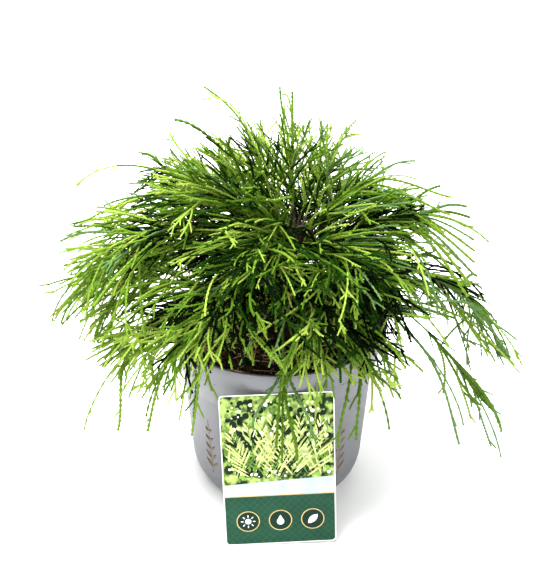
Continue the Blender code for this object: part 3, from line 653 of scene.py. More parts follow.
@dataclass
class CareCard:
    """The thin printed card that leans on the pot, with a plain leafy design and care signs.

    Shapes are laid out on the card's own face: width from its middle and height from its foot.
    """

    width: float = 0.0930
    height: float = 0.1390
    thickness: float = 0.0006
    corner: float = 0.0032
    lean: float = math.radians(8.4)
    turn: float = math.radians(2.2)
    roll: float = math.radians(-1.5)
    foot: tuple[float, float, float] = (0.0033, -0.1121, 0.0018)
    panel_height: float = 0.0465
    border: float = 0.0009
    ink_step: float = 0.00006
    fronds: int = 13
    leaflets: int = 20
    seed: int = 11

    def _stand(self, flat: np.ndarray, proud: float) -> np.ndarray:
        """Stand points of the card's face up in the scene, a little proud of its front."""
        matrix = np.array(Euler((-self.lean, self.roll, self.turn), "YXZ").to_matrix())
        local = np.column_stack((flat[:, 0], np.full(len(flat), -proud), flat[:, 1]))
        return local @ matrix.T + np.array(self.foot)

    def _outline(self, inset: float, low: float, high: float, corner: float) -> np.ndarray:
        """Return a rectangle with round corners, counter-clockwise from its upper right."""
        half = 0.5 * self.width - inset - corner
        points = []
        corners = ((half, high - corner), (-half, high - corner), (-half, low + corner), (half, low + corner))
        for quarter, (across, up) in enumerate(corners):
            for step in range(7):
                angle = 0.5 * math.pi * (quarter + step / 6)
                points.append((across + corner * math.cos(angle), up + corner * math.sin(angle)))
        return np.array(points)

    def _sheet(self, outline: np.ndarray, layer: int) -> Arrays:
        """Return a thin closed sheet of one convex outline, standing on the card's front.

        Args:
            outline: its corners in order.
            layer: which layer of ink it is, from 1.

        Returns:
            The vertices and triangles.
        """
        count = len(outline)
        front = self._stand(outline, layer * self.ink_step)
        back = self._stand(outline, (layer - 1) * self.ink_step - 0.5 * self.ink_step)
        here = np.arange(1, count - 1)
        faces = [np.column_stack((np.zeros_like(here), here, here + 1)),
                 np.column_stack((np.full_like(here, count), count + here + 1, count + here))]
        side = np.arange(count)
        ahead = (side + 1) % count
        faces.append(np.column_stack((side, count + side, count + ahead)))
        faces.append(np.column_stack((side, count + ahead, ahead)))
        return np.vstack((front, back)), np.vstack(faces)

    def _disc(self, middle: tuple[float, float], radius: float, layer: int, sides: int = 40) -> Arrays:
        """Return a round sheet."""
        angles = np.arange(sides) * 2 * math.pi / sides
        outline = np.array(middle) + radius * np.column_stack((np.cos(angles), np.sin(angles)))
        return self._sheet(outline, layer)

    @staticmethod
    def _leaf(foot: np.ndarray, heading: float, length: float, width: float) -> np.ndarray:
        """Return the outline of a pointed leaf."""
        share = np.linspace(0.0, 1.0, 7)
        half = 0.5 * width * np.sin(math.pi * share) ** 0.8
        along = np.array((math.cos(heading), math.sin(heading)))
        across = np.array((-along[1], along[0]))
        upper = foot + np.outer(share * length, along) + np.outer(half, across)
        lower = foot + np.outer(share * length, along) - np.outer(half, across)
        return np.vstack((lower, upper[-2:0:-1]))

    def build(self, kit: ShaderKit) -> None:
        """Build and dress the card.

        Args:
            kit: the shared node groups.
        """
        self._stock(kit)
        self._picture(kit)
        self._panel(kit)

    def _ink(self, name: str, parts: list[Arrays], finish: MottledFinish, kit: ShaderKit) -> None:
        """Join printed shapes of one ink to a piece."""
        piece = mesh_piece(name, *joined(parts), smooth=False)
        piece.data.materials.append(finish.material(kit))
        place(piece, "card")

    def _stock(self, kit: ShaderKit) -> None:
        """Build the white card itself."""
        outline = self._outline(0.0, 0.0, self.height, self.corner)
        count = len(outline)
        front, back = self._stand(outline, 0.0), self._stand(outline, -self.thickness)
        here = np.arange(1, count - 1)
        side = np.arange(count)
        ahead = (side + 1) % count
        faces = np.vstack((np.column_stack((np.zeros_like(here), here, here + 1)),
                           np.column_stack((np.full_like(here, count), count + here + 1, count + here)),
                           np.column_stack((side, count + side, count + ahead)),
                           np.column_stack((side, count + ahead, ahead))))
        piece = mesh_piece("card_stock", np.vstack((front, back)), faces, smooth=False)
        stock = MottledFinish("card_stock", (0.82, 0.84, 0.80), (0.76, 0.79, 0.75), scale=90.0,
                              contrast=1.5, smooth=0.28, rough=0.40, bump=0.00001)
        piece.data.materials.append(stock.material(kit))
        place(piece, "card", "care_card")

    def _picture(self, kit: ShaderKit) -> None:
        """Print the leafy upper field: a blurred garden ground with fronds that fan out over it."""
        rng = np.random.default_rng(self.seed)
        low, high = self.panel_height, self.height - self.border
        half = 0.5 * self.width - self.border
        outline = self._outline(self.border, low, high, self.corner)
        outline[14:, 1] = np.maximum(outline[14:, 1], low)
        ground = self._print("garden", (0.40, 0.54, 0.16), (0.012, 0.035, 0.008), 150.0, 5.5)
        self._ink("print_garden", [self._sheet(outline, 1)], ground, kit)
        path = np.array(((-half, low), (half, low), (half, low + 0.016), (-half, low + 0.011)))
        self._ink("print_path", [self._sheet(path, 2)],
                  self._print("pale", (0.52, 0.58, 0.66), (0.38, 0.46, 0.56), 70.0, 2.5), kit)
        blurs = {"hollow": ((0.008, 0.022, 0.007), 130, (0.0012, 0.0030)),
                 "leafage": ((0.24, 0.40, 0.08), 90, (0.0008, 0.0024)),
                 "sunlit": ((0.72, 0.80, 0.42), 110, (0.0006, 0.0021)),
                 "bloom": ((0.90, 0.88, 0.84), 60, (0.0005, 0.0018))}
        for layer, (name, (color, count, sizes)) in enumerate(blurs.items()):
            spots = np.column_stack((rng.uniform(-half + 0.004, half - 0.004, count),
                                     rng.uniform(low + 0.018, high - 0.004, count)))
            discs = [self._disc(spot, size, 2 + layer, 14) for spot, size in zip(spots, rng.uniform(*sizes, count))]
            self._ink("print_" + name, discs, self._print(name, color, color, 90.0, 2.0), kit)
        inks = {"dusk": (0.010, 0.030, 0.008), "moss": (0.16, 0.30, 0.05), "gold": (0.66, 0.72, 0.30)}
        leaves: dict[str, list[Arrays]] = {name: [] for name in inks}
        for number in range(self.fronds):
            foot = np.array(((-0.36 + 0.72 * number / (self.fronds - 1)) * self.width,
                             low + 0.014 + 0.006 * (number % 2)))
            lean = 0.5 * math.pi - 0.055 * (number - 0.5 * self.fronds) + rng.uniform(-0.12, 0.12)
            reach = rng.uniform(0.036, 0.056)
            for leaflet in range(self.leaflets):
                share = (leaflet + 1) / self.leaflets
                spot = foot + share * reach * np.array((math.cos(lean), math.sin(lean)))
                side = 1 if leaflet % 2 else -1
                ink = ("gold", "moss", "dusk")[rng.choice(3, p=(0.50, 0.22, 0.28))]
                leaf = self._leaf(spot, lean + side * (0.70 - 0.3 * share), 0.018 * (1.15 - 0.75 * share), 0.0017)
                inside = (np.abs(leaf[:, 0]) < half) & (leaf[:, 1] > low) & (leaf[:, 1] < high)
                if inside.all():
                    leaves[ink].append(self._sheet(leaf, 6 + list(inks).index(ink)))
        for name, color in inks.items():
            finish = self._print(name, color, tuple(0.7 * part for part in color), 260.0, 3.0)
            self._ink(f"print_leaves_{name}", leaves[name], finish, kit)

    @staticmethod
    def _print(name: str, light: Color, dark: Color, scale: float, contrast: float) -> MottledFinish:
        """Return a printed, slightly glossy finish."""
        return MottledFinish("print_" + name, light, dark, scale=scale, contrast=contrast, smooth=0.28,
                             rough=0.38, bump=0.00001, shine=0.12)

    def _panel(self, kit: ShaderKit) -> None:
        """Print the green panel with its lattice, gold rule and round care signs."""
        outline = self._outline(self.border, self.border, self.panel_height, self.corner)
        outline[:14, 1] = self.panel_height
        green = self._print("green", (0.022, 0.086, 0.050), (0.015, 0.062, 0.036), 60.0, 2.0)
        self._ink("print_panel", [self._sheet(outline, 1)], green, kit)
        half = 0.5 * self.width - self.border
        bars = []
        pitch, thin = 0.0062, 0.0005
        for start in np.arange(-half - self.panel_height, half, pitch):
            for slope in (-1, 1):
                low, high = self.border, self.panel_height
                ends = np.array(((start, low), (start + high - low, high)))
                ends[:, 0] = np.clip(ends[:, 0], -half, half)
                ends[:, 1] = low + np.clip(ends[:, 0] - start, 0, high - low)
                if ends[1, 0] - ends[0, 0] < pitch:
                    continue
                ends[:, 0] *= slope
                step = np.array((0.0, thin))
                corners = np.array((ends[0], ends[1], ends[1] + step, ends[0] + step))
                bars.append(self._sheet(corners if slope > 0 else corners[::-1], 2))
        lattice = self._print("lattice", (0.036, 0.118, 0.072), (0.028, 0.096, 0.058), 60.0, 2.0)
        self._ink("print_lattice", bars, lattice, kit)
        rule = np.array(((-half, self.panel_height - 0.0004), (half, self.panel_height - 0.0004),
                         (half, self.panel_height + 0.0006), (-half, self.panel_height + 0.0006)))
        gold = self._print("gilt", (0.62, 0.50, 0.24), (0.45, 0.34, 0.14), 150.0, 2.0)
        signs = [(-0.027, 0.0225), (0.0, 0.0225), (0.027, 0.0225)]
        gilt = [self._sheet(rule, 3)] + [self._disc(spot, 0.0098, 3) for spot in signs]
        self._ink("print_gilt", gilt, gold, kit)
        deep = self._print("deep", (0.012, 0.040, 0.024), (0.008, 0.030, 0.018), 90.0, 2.0)
        self._ink("print_sign_grounds", [self._disc(spot, 0.0089, 4) for spot in signs], deep, kit)
        white = self._print("white", (0.84, 0.86, 0.84), (0.78, 0.80, 0.78), 90.0, 1.5)
        self._ink("print_signs", self._signs(signs), white, kit)

    def _signs(self, spots: list[tuple[float, float]]) -> list[Arrays]:
        """Return a sun, a drop and a leaf, one on each spot."""
        sun, drop, leaf = spots
        shapes = [self._disc(sun, 0.0026, 5, 24)]
        for ray in range(8):
            angle = 0.25 * math.pi * ray
            foot = np.array(sun) + 0.0036 * np.array((math.cos(angle), math.sin(angle)))
            shapes.append(self._sheet(self._leaf(foot, angle, 0.0028, 0.0010), 5))
        angles = np.linspace(math.radians(-215), math.radians(35), 22)
        round_part = 0.0031 * np.column_stack((np.cos(angles), np.sin(angles))) - (0.0, 0.0012)
        shapes.append(self._sheet(np.array(drop) + np.vstack((round_part, [(0.0, 0.0052)])), 5))
        shapes.append(self._sheet(self._leaf(np.array(leaf) - (0.0040, 0.0042), math.radians(46),
                                             0.0118, 0.0058), 5))
        return shapes


@dataclass
class Studio:
    """Floor, lights and camera."""

    elevation: float = math.radians(28.22)
    distance: float = 0.90
    target: tuple[float, float, float] = (-0.0037, 0.0, 0.1866)
    lens: float = 66.1
    sky_strength: float = 0.22
    floor_size: float = 12.0
    floor_glow: float = 0.20
    gamma: float = 0.86

    def build(self) -> None:
        """Build the studio round the plant."""
        self._floor()
        self._lights()
        self._camera()
        view = bpy.context.scene.view_settings
        view.view_transform = "Standard"
        view.gamma = self.gamma

    def _floor(self) -> None:
        """Lay the pale floor."""
        bpy.ops.mesh.primitive_plane_add(size=self.floor_size)
        floor = bpy.context.object
        floor.name = "studio_floor"
        material, _, _, shader = new_shader("floor_white")
        shader.inputs["Base Color"].default_value = (0.95, 0.95, 0.955, 1.0)
        shader.inputs["Roughness"].default_value = 0.9
        shader.inputs["Emission Color"].default_value = (1.0, 1.0, 1.0, 1.0)
        shader.inputs["Emission Strength"].default_value = self.floor_glow
        floor.data.materials.append(material)

    def _lights(self) -> None:
        """Hang the soft lights and set the pale world."""
        world = bpy.data.worlds.new("pale_room")
        world.use_nodes = True
        sky = world.node_tree.nodes["Background"]
        sky.inputs["Color"].default_value = (1.0, 1.0, 1.0, 1.0)
        sky.inputs["Strength"].default_value = self.sky_strength
        bpy.context.scene.world = world
        for name, spot, size, power in (("key", (-0.50, -0.25, 2.0), 1.1, 122.0),
                                        ("fill", (0.35, -1.5, 0.95), 0.8, 16.0),
                                        ("wash", (0.0, 2.4, 2.4), 2.6, 110.0)):
            lamp = bpy.data.lights.new(name, "AREA")
            lamp.size = size
            lamp.energy = power
            item = bpy.data.objects.new(name, lamp)
            item.location = spot
            aim = np.array((0.0, 1.4, 0.0) if name == "wash" else (0.0, 0.0, 0.18)) - np.array(spot)
            item.rotation_euler = (math.atan2(math.hypot(aim[0], aim[1]), -aim[2]), 0.0,
                                   math.atan2(-aim[0], aim[1]))
            bpy.context.scene.collection.objects.link(item)

    def _camera(self) -> None:
        """Stand the camera at the photograph's angle."""
        data = bpy.data.cameras.new("camera")
        data.lens = self.lens
        camera = bpy.data.objects.new("camera", data)
        back = np.array((0.0, -math.cos(self.elevation), math.sin(self.elevation)))
        camera.location = np.array(self.target) + self.distance * back
        camera.rotation_euler = (math.pi / 2 - self.elevation, 0.0, 0.0)
        bpy.context.scene.collection.objects.link(camera)
        bpy.context.scene.camera = camera


@dataclass(frozen=True)
class Sweep:
    """One limb's course and the room that its foliage fills.

    Attributes:
        azimuth: its direction in degrees, 0 to the viewer's right and -90 towards the viewer.
        reach: how far its furthest tip lies from the crown's axis.
        tip: height of its furthest tip.
        room: how far from the crown's axis its other threads reach.
        hem: height that its other threads hang down to.
        fill: how closely they stand, 1 for the closest.
    """

    azimuth: float
    reach: float
    tip: float
    room: float
    hem: float
    fill: float

    @property
    def out(self) -> np.ndarray:
        """The level direction in which the limb goes."""
        turn = math.radians(self.azimuth)
        return np.array((math.cos(turn), math.sin(turn), 0.0))


@dataclass(frozen=True)
class Tier:
    """Boughs that leave the trunk at about one height.

    Attributes:
        name: the tier's name in the frame.
        rise: angle in degrees at which its boughs leave the trunk.
        fall: angle in degrees below level at which their tips end.
        foot: height of its lowest bough's foot.
        bough: share of each arch that is bare bough.
        sag: how far its threads bend down, in radians a metre at their tips.
        sweeps: the limbs in the order of their numbers.
    """

    name: str
    rise: float
    fall: float
    foot: float
    bough: float
    sag: float
    sweeps: tuple[Sweep, ...]


TIERS = (
    Tier("top", 62, 24, 0.2135, 0.24, 12.0, (
        Sweep(8, 0.100, 0.280, 0.092, 0.225, 0.7),
        Sweep(50, 0.085, 0.300, 0.090, 0.230, 0.6),
        Sweep(108, 0.035, 0.346, 0.085, 0.240, 0.6),
        Sweep(150, 0.088, 0.338, 0.108, 0.235, 0.8),
        Sweep(200, 0.108, 0.278, 0.112, 0.200, 1.0),
        Sweep(243, 0.100, 0.240, 0.112, 0.178, 1.0),
        Sweep(292, 0.104, 0.230, 0.112, 0.172, 1.0),
    )),
    Tier("upper", 58, 46, 0.1945, 0.26, 20.0, (
        Sweep(-2, 0.160, 0.232, 0.136, 0.165, 0.8),
        Sweep(38, 0.150, 0.222, 0.132, 0.160, 0.7),
        Sweep(76, 0.160, 0.218, 0.146, 0.155, 0.8),
        Sweep(117, 0.164, 0.228, 0.150, 0.155, 0.8),
        Sweep(160, 0.205, 0.251, 0.166, 0.165, 1.0),
        Sweep(199, 0.188, 0.224, 0.182, 0.150, 1.0),
        Sweep(238, 0.140, 0.200, 0.142, 0.172, 1.0),
        Sweep(278, 0.135, 0.182, 0.130, 0.165, 1.0),
        Sweep(322, 0.150, 0.184, 0.138, 0.158, 1.0),
    )),
    Tier("lower", 46, 76, 0.1740, 0.28, 21.0, (
        Sweep(-12, 0.188, 0.036, 0.182, 0.080, 0.40),
        Sweep(6, 0.198, 0.100, 0.190, 0.110, 0.45),
        Sweep(56, 0.172, 0.120, 0.155, 0.125, 0.9),
        Sweep(97, 0.178, 0.118, 0.160, 0.122, 1.0),
        Sweep(138, 0.172, 0.120, 0.165, 0.130, 0.9),
        Sweep(175, 0.216, 0.142, 0.192, 0.150, 1.0),
        Sweep(200, 0.190, 0.084, 0.172, 0.135, 1.0),
        Sweep(222, 0.160, 0.128, 0.155, 0.142, 1.0),
        Sweep(265, 0.134, 0.100, 0.130, 0.166, 0.5),
        Sweep(301, 0.140, 0.125, 0.134, 0.156, 0.6),
        Sweep(330, 0.160, 0.100, 0.145, 0.148, 0.5),
    )),
)


class Side(Enum):
    """Sides of the crown, as ranges of azimuth in degrees."""

    FRONT = (-150.0, -40.0)
    RIGHT = (-40.0, 35.0)
    BACK = (35.0, 135.0)
    LEFT = (135.0, 180.1)
    LEFT_FRONT = (-180.1, -150.0)


# Shares of the tones on each side, in the order of Tone; partly the plant's own mix, partly painted light and
# shade: more deep tone on the shaded front and more lime on the lit back
TONE_SHARES = {
    Side.FRONT: (0.21, 0.26, 0.14, 0.37, 0.015, 0.0, 0.005, 0.0),
    Side.RIGHT: (0.10, 0.18, 0.20, 0.20, 0.315, 0.0, 0.005, 0.0),
    Side.BACK: (0.37, 0.29, 0.15, 0.05, 0.13, 0.0, 0.01, 0.0),
    Side.LEFT: (0.26, 0.29, 0.23, 0.14, 0.07, 0.0, 0.01, 0.0),
    Side.LEFT_FRONT: (0.24, 0.29, 0.23, 0.19, 0.04, 0.0, 0.01, 0.0),
}
# Shares of the tones among the whips, in the same order
WHIP_SHARES = (0.0, 0.28, 0.38, 0.0, 0.34, 0.0, 0.0, 0.0)
# How much of the tiers' inner dusk, painted shade in the near-black tone, each side shows
PAINTED_SHADE_SHARES = {Side.FRONT: 0.95, Side.RIGHT: 0.30, Side.BACK: 0.12, Side.LEFT: 0.05, Side.LEFT_FRONT: 0.12}


@dataclass(frozen=True)
class Habit:
    """How the twigs of one tier stand.

    Attributes:
        threads: how many threads each limb grows at the closest.
        seconds: how many side threads each of them grows.
        spread: greatest angle in degrees between a thread and its limb.
        lift: least and greatest angle in degrees of a thread above its limb.
        bow: how strongly threads curve to one side, in radians a metre.
        thickness: radius of its threads in metres.
        dusk: share of the threads within the crown that are in the darkest tone, as painted shade for the crown's
            shadow.
        inner: how many inner twigs each limb carries.
        inner_shares: shares of the tones among the inner twigs, in the order of Tone; the near-black tone among
            them is painted shade inside the crown, with less of it in the top tier, which is lit more.
    """

    threads: int
    seconds: int
    spread: float
    lift: tuple[float, float]
    bow: float
    thickness: float
    dusk: float
    inner: int
    inner_shares: tuple[float, ...]


# painted shade: the lower tiers put more threads and inner twigs in the near-black tone than the top one
HABITS = {
    "top": Habit(36, 3, 62.0, (-36, 50), 8.0, 0.00092, 0.08, 60,
                 (0.0, 0.20, 0.34, 0.30, 0.08, 0.04, 0.0, 0.04)),
    "upper": Habit(23, 3, 54.0, (-62, 38), 7.0, 0.00106, 0.50, 160,
                   (0.0, 0.02, 0.13, 0.36, 0.02, 0.41, 0.0, 0.06)),
    "lower": Habit(27, 3, 52.0, (-52, 46), 6.0, 0.00108, 0.70, 220,
                   (0.0, 0.02, 0.10, 0.35, 0.0, 0.45, 0.0, 0.08)),
}


@dataclass(frozen=True)
class Whip:
    """A single long thread that stands out of the crown.

    Attributes:
        tier: name of the tier that it grows from.
        limb: number of its limb, from 1.
        leave: share of the limb at which it leaves.
        azimuth: direction of its tip in degrees.
        reach: distance of its tip from the crown's axis.
        tip: height of its tip.
        fall: angle in degrees below level at which it ends.
    """

    tier: str
    limb: int
    leave: float
    azimuth: float
    reach: float
    tip: float
    fall: float


WHIPS = (
    Whip("top", 4, 0.50, 137, 0.105, 0.340, -14),
    Whip("top", 3, 0.40, 104, 0.054, 0.346, -78),
    Whip("top", 3, 0.50, 92, 0.070, 0.336, -60),
    Whip("top", 2, 0.50, 50, 0.080, 0.314, -20),
    Whip("top", 1, 0.45, 23, 0.082, 0.297, -12),
    Whip("top", 1, 0.60, 27, 0.115, 0.281, 10),
    Whip("upper", 1, 0.50, 12, 0.124, 0.269, -8),
    Whip("upper", 4, 0.45, 147, 0.122, 0.313, 6),
    Whip("upper", 5, 0.55, 155, 0.145, 0.284, 14),
    Whip("upper", 6, 0.60, 180, 0.196, 0.230, 30),
    Whip("upper", 6, 0.55, 188, 0.192, 0.196, 62),
    Whip("lower", 1, 0.50, -18, 0.166, 0.100, 34),
    Whip("lower", 11, 0.55, -30, 0.158, 0.080, 70),
    Whip("lower", 9, 0.55, 255, 0.134, 0.132, 80),
    Whip("lower", 9, 0.50, 263, 0.132, 0.114, 84),
    Whip("lower", 9, 0.60, 270, 0.134, 0.103, 84),
    Whip("lower", 9, 0.50, 275, 0.137, 0.125, 76),
    Whip("lower", 10, 0.45, 283, 0.140, 0.116, 82),
    Whip("lower", 10, 0.50, 289, 0.140, 0.122, 84),
    Whip("lower", 7, 0.60, 209, 0.168, 0.096, 72),
    Whip("lower", 8, 0.60, 216, 0.150, 0.100, 74),
)


def between(first: Whip, last: Whip, count: int) -> tuple[Whip, ...]:
    """Return a row of threads that blend evenly from one to another of the same limb."""
    ends = np.array([[whip.leave, whip.azimuth, whip.reach, whip.tip, whip.fall] for whip in (first, last)])
    return tuple(Whip(first.tier, first.limb, *(ends[0] + share * (ends[1] - ends[0])))
                 for share in np.linspace(0.0, 1.0, count))


# Further threads that hang out to the right, in rows
BUNCH = (
    between(Whip("top", 1, 0.45, -12, 0.122, 0.250, 26), Whip("top", 1, 0.60, 6, 0.130, 0.264, 14), 3)
    + between(Whip("upper", 1, 0.45, -18, 0.146, 0.202, 52), Whip("upper", 1, 0.60, 15, 0.153, 0.244, 20), 9)
    + between(Whip("lower", 2, 0.45, -8, 0.164, 0.160, 54), Whip("lower", 2, 0.60, 14, 0.168, 0.176, 44), 5)
    + between(Whip("lower", 2, 0.55, -3, 0.189, 0.122, 56), Whip("lower", 2, 0.70, 9, 0.193, 0.099, 66), 5)
    + between(Whip("lower", 1, 0.55, -18, 0.177, 0.096, 68), Whip("lower", 1, 0.72, -7, 0.187, 0.052, 82), 5)
)


@dataclass
class Trunk:
    """The short leaning stem that the boughs grow from."""

    foot: float = 0.1397
    fork: tuple[float, float, float] = (0.0200, 0.0020, 0.2420)
    radius: float = 0.0060
    top_radius: float = 0.0042
    flare_radius: float = 0.0130
    flare_height: float = 0.0060
    lobes: int = 5
    lobe_depth: float = 0.16
    ridges: int = 9
    rings: int = 60
    sides: int = 36

    def axis(self, level: float) -> np.ndarray:
        """Return the middle of the trunk at a height."""
        share = np.clip((level - self.foot) / (self.fork[2] - self.foot), 0.0, 1.0) ** 1.35
        return np.array((self.fork[0] * share, self.fork[1] * share, level))

    def build(self, bark: bpy.types.Material) -> None:
        """Build the trunk with ridged bark.

        Args:
            bark: the bark's material.
        """
        rng = np.random.default_rng(3)
        total = self.fork[2] - self.foot
        turns = np.linspace(0.0, 2 * math.pi, self.sides, endpoint=False)
        vertices = [[self.axis(self.foot)]]
        for height in total * np.linspace(0.0, 1.0, self.rings) ** 1.4:
            middle = self.axis(self.foot + height)
            mean = self.radius + (self.top_radius - self.radius) * height / total
            mean += (self.flare_radius - self.radius) * math.exp(-height / self.flare_height)
            lobe = self.lobe_depth * math.exp(-height / self.flare_height)
            ridges = 0.05 * np.sin(self.ridges * turns + 60 * height / total)
            ridges += rng.normal(0.0, 0.02, self.sides)
            radius = mean * (1 + lobe * np.cos(self.lobes * turns) + ridges)
            vertices.append(np.column_stack((middle[0] + radius * np.cos(turns),
                                             middle[1] + radius * np.sin(turns),
                                             np.full(self.sides, middle[2]))))
        vertices.append([self.axis(self.fork[2])])
        here = np.arange(self.sides)
        ahead = (here + 1) % self.sides
        faces = [np.column_stack((np.zeros_like(here), 1 + ahead, 1 + here))]
        for ring in range(self.rings - 1):
            low, high = 1 + ring * self.sides, 1 + (ring + 1) * self.sides
            faces.append(np.column_stack((low + here, low + ahead, high + ahead)))
            faces.append(np.column_stack((low + here, high + ahead, high + here)))
        top = 1 + (self.rings - 1) * self.sides
        faces.append(np.column_stack((np.full_like(here, top + self.sides), top + here, top + ahead)))
        piece = mesh_piece("trunk_bark", np.vstack(vertices), np.vstack(faces))
        piece.data.materials.append(bark)
        place(piece, "bark", "trunk")


@dataclass
class Crown:
    """Boughs, stems, threads and shoots, grown on from the limbs by the frame's own rule."""

    trunk: Trunk
    pot: Pot
    axis: tuple[float, float] = (0.0150, 0.0000)
    lead_share: float = 0.42
    tail_share: float = 0.36
    foot_step: float = 0.0062
    foot_levels: int = 3
    arch_points: int = 81
    field_softness: float = 0.028
    roof_top: float = 0.318
    roof_fall: float = 3.3
    roof_tilt: float = 0.17
    eaves_start: float = 0.105
    eaves_slope: float = 1.0
    eaves_drop: float = 0.024
    window_sides: tuple[float, float] = (-0.052, 0.002)
    window_back: float = -0.035
    window_top: float = 0.186
    gap_sides: tuple[float, float] = (0.098, 0.152)
    gap_depth: tuple[float, float] = (-0.120, 0.070)
    gap_levels: tuple[float, float] = (0.096, 0.158)
    gap_tilt: float = 0.53
    gap_share: float = 0.10
    bough_foot_radius: float = 0.0023
    bough_tip_radius: float = 0.0017
    thread_rings: int = 38
    twig_rings: int = 10
    shoot_rings: int = 5
    shoots: int = 2
    whip_girth: float = 1.35
    spray_mix: float = 0.5
    rim_share: float = 0.78
    rim_height: float = 0.020
    front: float = -0.060
    front_half: float = 0.085
    press_start: float = -0.122
    press_room: float = 0.016
    seed: int = 40
    rng: np.random.Generator = field(init=False)
    guides: np.ndarray = field(init=False)
    courses: np.ndarray = field(init=False)

    def __post_init__(self) -> None:
        """Seed the crown's own random numbers, and note where all the limbs run."""
        self.rng = np.random.default_rng(self.seed)
        axes = [self.arch(tier, order) for tier in TIERS for order in range(len(tier.sweeps))]
        self.guides = np.vstack([axis[::4] for axis in axes])
        self.courses = np.vstack([unit(np.gradient(axis, axis=0))[::4] for axis in axes])

    def arch(self, tier: Tier, order: int) -> np.ndarray:
        """Return the axis of one limb, from the trunk to its furthest tip.

        Args:
            tier: the tier it belongs to.
            order: its number in the tier, from 0.

        Returns:
            Evenly spaced points.
        """
        sweep = tier.sweeps[order]
        foot = self.trunk.axis(min(tier.foot + self.foot_step * (order % self.foot_levels),
                                   self.trunk.fork[2]))
        rise, fall = math.radians(tier.rise), math.radians(tier.fall)
        tip = self.spot(sweep.azimuth, sweep.reach, sweep.tip)
        return self.curve(foot, math.cos(rise) * sweep.out + math.sin(rise) * UP,
                          tip, math.cos(fall) * sweep.out - math.sin(fall) * UP, self.arch_points)

    def spot(self, azimuth: float, reach: float, height: float) -> np.ndarray:
        """Return the point in a direction from the crown's axis, at a reach and a height."""
        turn = math.radians(azimuth)
        return np.array((self.axis[0] + reach * math.cos(turn), self.axis[1] + reach * math.sin(turn), height))

    def curve(self, foot: np.ndarray, start: np.ndarray, tip: np.ndarray, end: np.ndarray,
              count: int) -> np.ndarray:
        """Return evenly spaced points on a smooth arch.

        Args:
            foot: where it starts.
            start: the direction in which it starts.
            tip: where it ends.
            end: the direction in which it ends.
            count: how many points it has.

        Returns:
            The points.
        """
        span = np.linalg.norm(tip - foot)
        lead, tail = foot + self.lead_share * span * start, tip - self.tail_share * span * end
        share = np.linspace(0.0, 1.0, count)[:, None]
        points = ((1 - share) ** 3 * foot + 3 * share * (1 - share) ** 2 * lead
                  + 3 * share ** 2 * (1 - share) * tail + share ** 3 * tip)
        lengths = np.concatenate(([0.0], np.cumsum(np.linalg.norm(np.diff(points, axis=0), axis=1))))
        even = np.linspace(0.0, lengths[-1], count)
        return np.column_stack([np.interp(even, lengths, points[:, k]) for k in range(3)])

    def flow(self, points: np.ndarray) -> np.ndarray:
        """Return the direction in which the limbs near each point run."""
        offset = points[:, None] - self.guides[None]
        weight = 1.0 / ((offset ** 2).sum(2) + self.field_softness ** 2) ** 2
        return unit(weight @ self.courses)

    def grow(self, starts: np.ndarray, headings: np.ndarray, lengths: np.ndarray, sag: np.ndarray,
             bow: np.ndarray, rings: int, turn_length: float) -> np.ndarray:
        """Grow threads that leave along their headings, fall in with the limbs' flow and sag.

        Args:
            starts: N points where the threads leave.
            headings: N directions in which they leave.
            lengths: N lengths.
            sag: N rates of bending down at their tips, in radians a metre.
            bow: N rates of bending to one side, in radians a metre.
            rings: points on each thread.
            turn_length: distance over which they fall in with the flow.

        Returns:
            N paths of that many points.
        """
        paths = np.empty((len(starts), rings, 3))
        paths[:, 0] = starts
        heading = unit(headings)
        step = (lengths / (rings - 1))[:, None]
        for ring in range(1, rings):
            here = paths[:, ring - 1]
            side = unit(np.cross(heading, UP) + (1e-6, 0.0, 0.0))
            turn = step / turn_length * (self.flow(here) - heading)
            turn += step * bow[:, None] * side - step * sag[:, None] * ring / rings * UP
            heading = unit(heading + turn)
            paths[:, ring] = here + step * heading
        return paths

    def branch(self, parents: np.ndarray, each: int, places: tuple[float, float],
               spread: tuple[float, float], lift: tuple[float, float], lengths: np.ndarray,
               sag: float, rings: int, bow: float = 3.5, turn_length: float = 0.120) -> np.ndarray:
        """Grow side threads from parent paths.

        Args:
            parents: N parent paths.
            each: how many threads leave each parent.
            places: lowest and highest share of the parent at which they leave.
            spread: least and greatest angle in degrees from the parent, to either side.
            lift: least and greatest angle in degrees above the parent.
            lengths: N times each lengths.
            sag: mean rate of bending down.
            rings: points on each thread.
            bow: how strongly they curve to one side.
            turn_length: distance over which they fall in with the flow.

        Returns:
            The new paths, grouped by parent.
        """
        count = len(parents) * each
        source = np.repeat(parents, each, axis=0)
        last = parents.shape[1] - 1
        at = self.rng.uniform(places[0], places[1], count) * last
        two = resample(source, np.column_stack((at, np.minimum(at + 0.5, last))))
        tangent = unit(two[:, 1] - two[:, 0])
        across = unit(np.cross(tangent, UP) + (1e-6, 0.0, 0.0))
        over = np.cross(across, tangent)
        side = np.where(np.arange(count) % 2 == 0, 1.0, -1.0)
        turn = np.tan(np.radians(self.rng.uniform(spread[0], spread[1], count))) * side
        raise_by = np.tan(np.radians(self.rng.uniform(lift[0], lift[1], count)))
        heading = unit(tangent + turn[:, None] * across + raise_by[:, None] * over)
        return self.grow(two[:, 0], heading, lengths, sag * self.rng.uniform(0.2, 1.5, count),
                         self.rng.normal(0.0, bow, count), rings, turn_length)

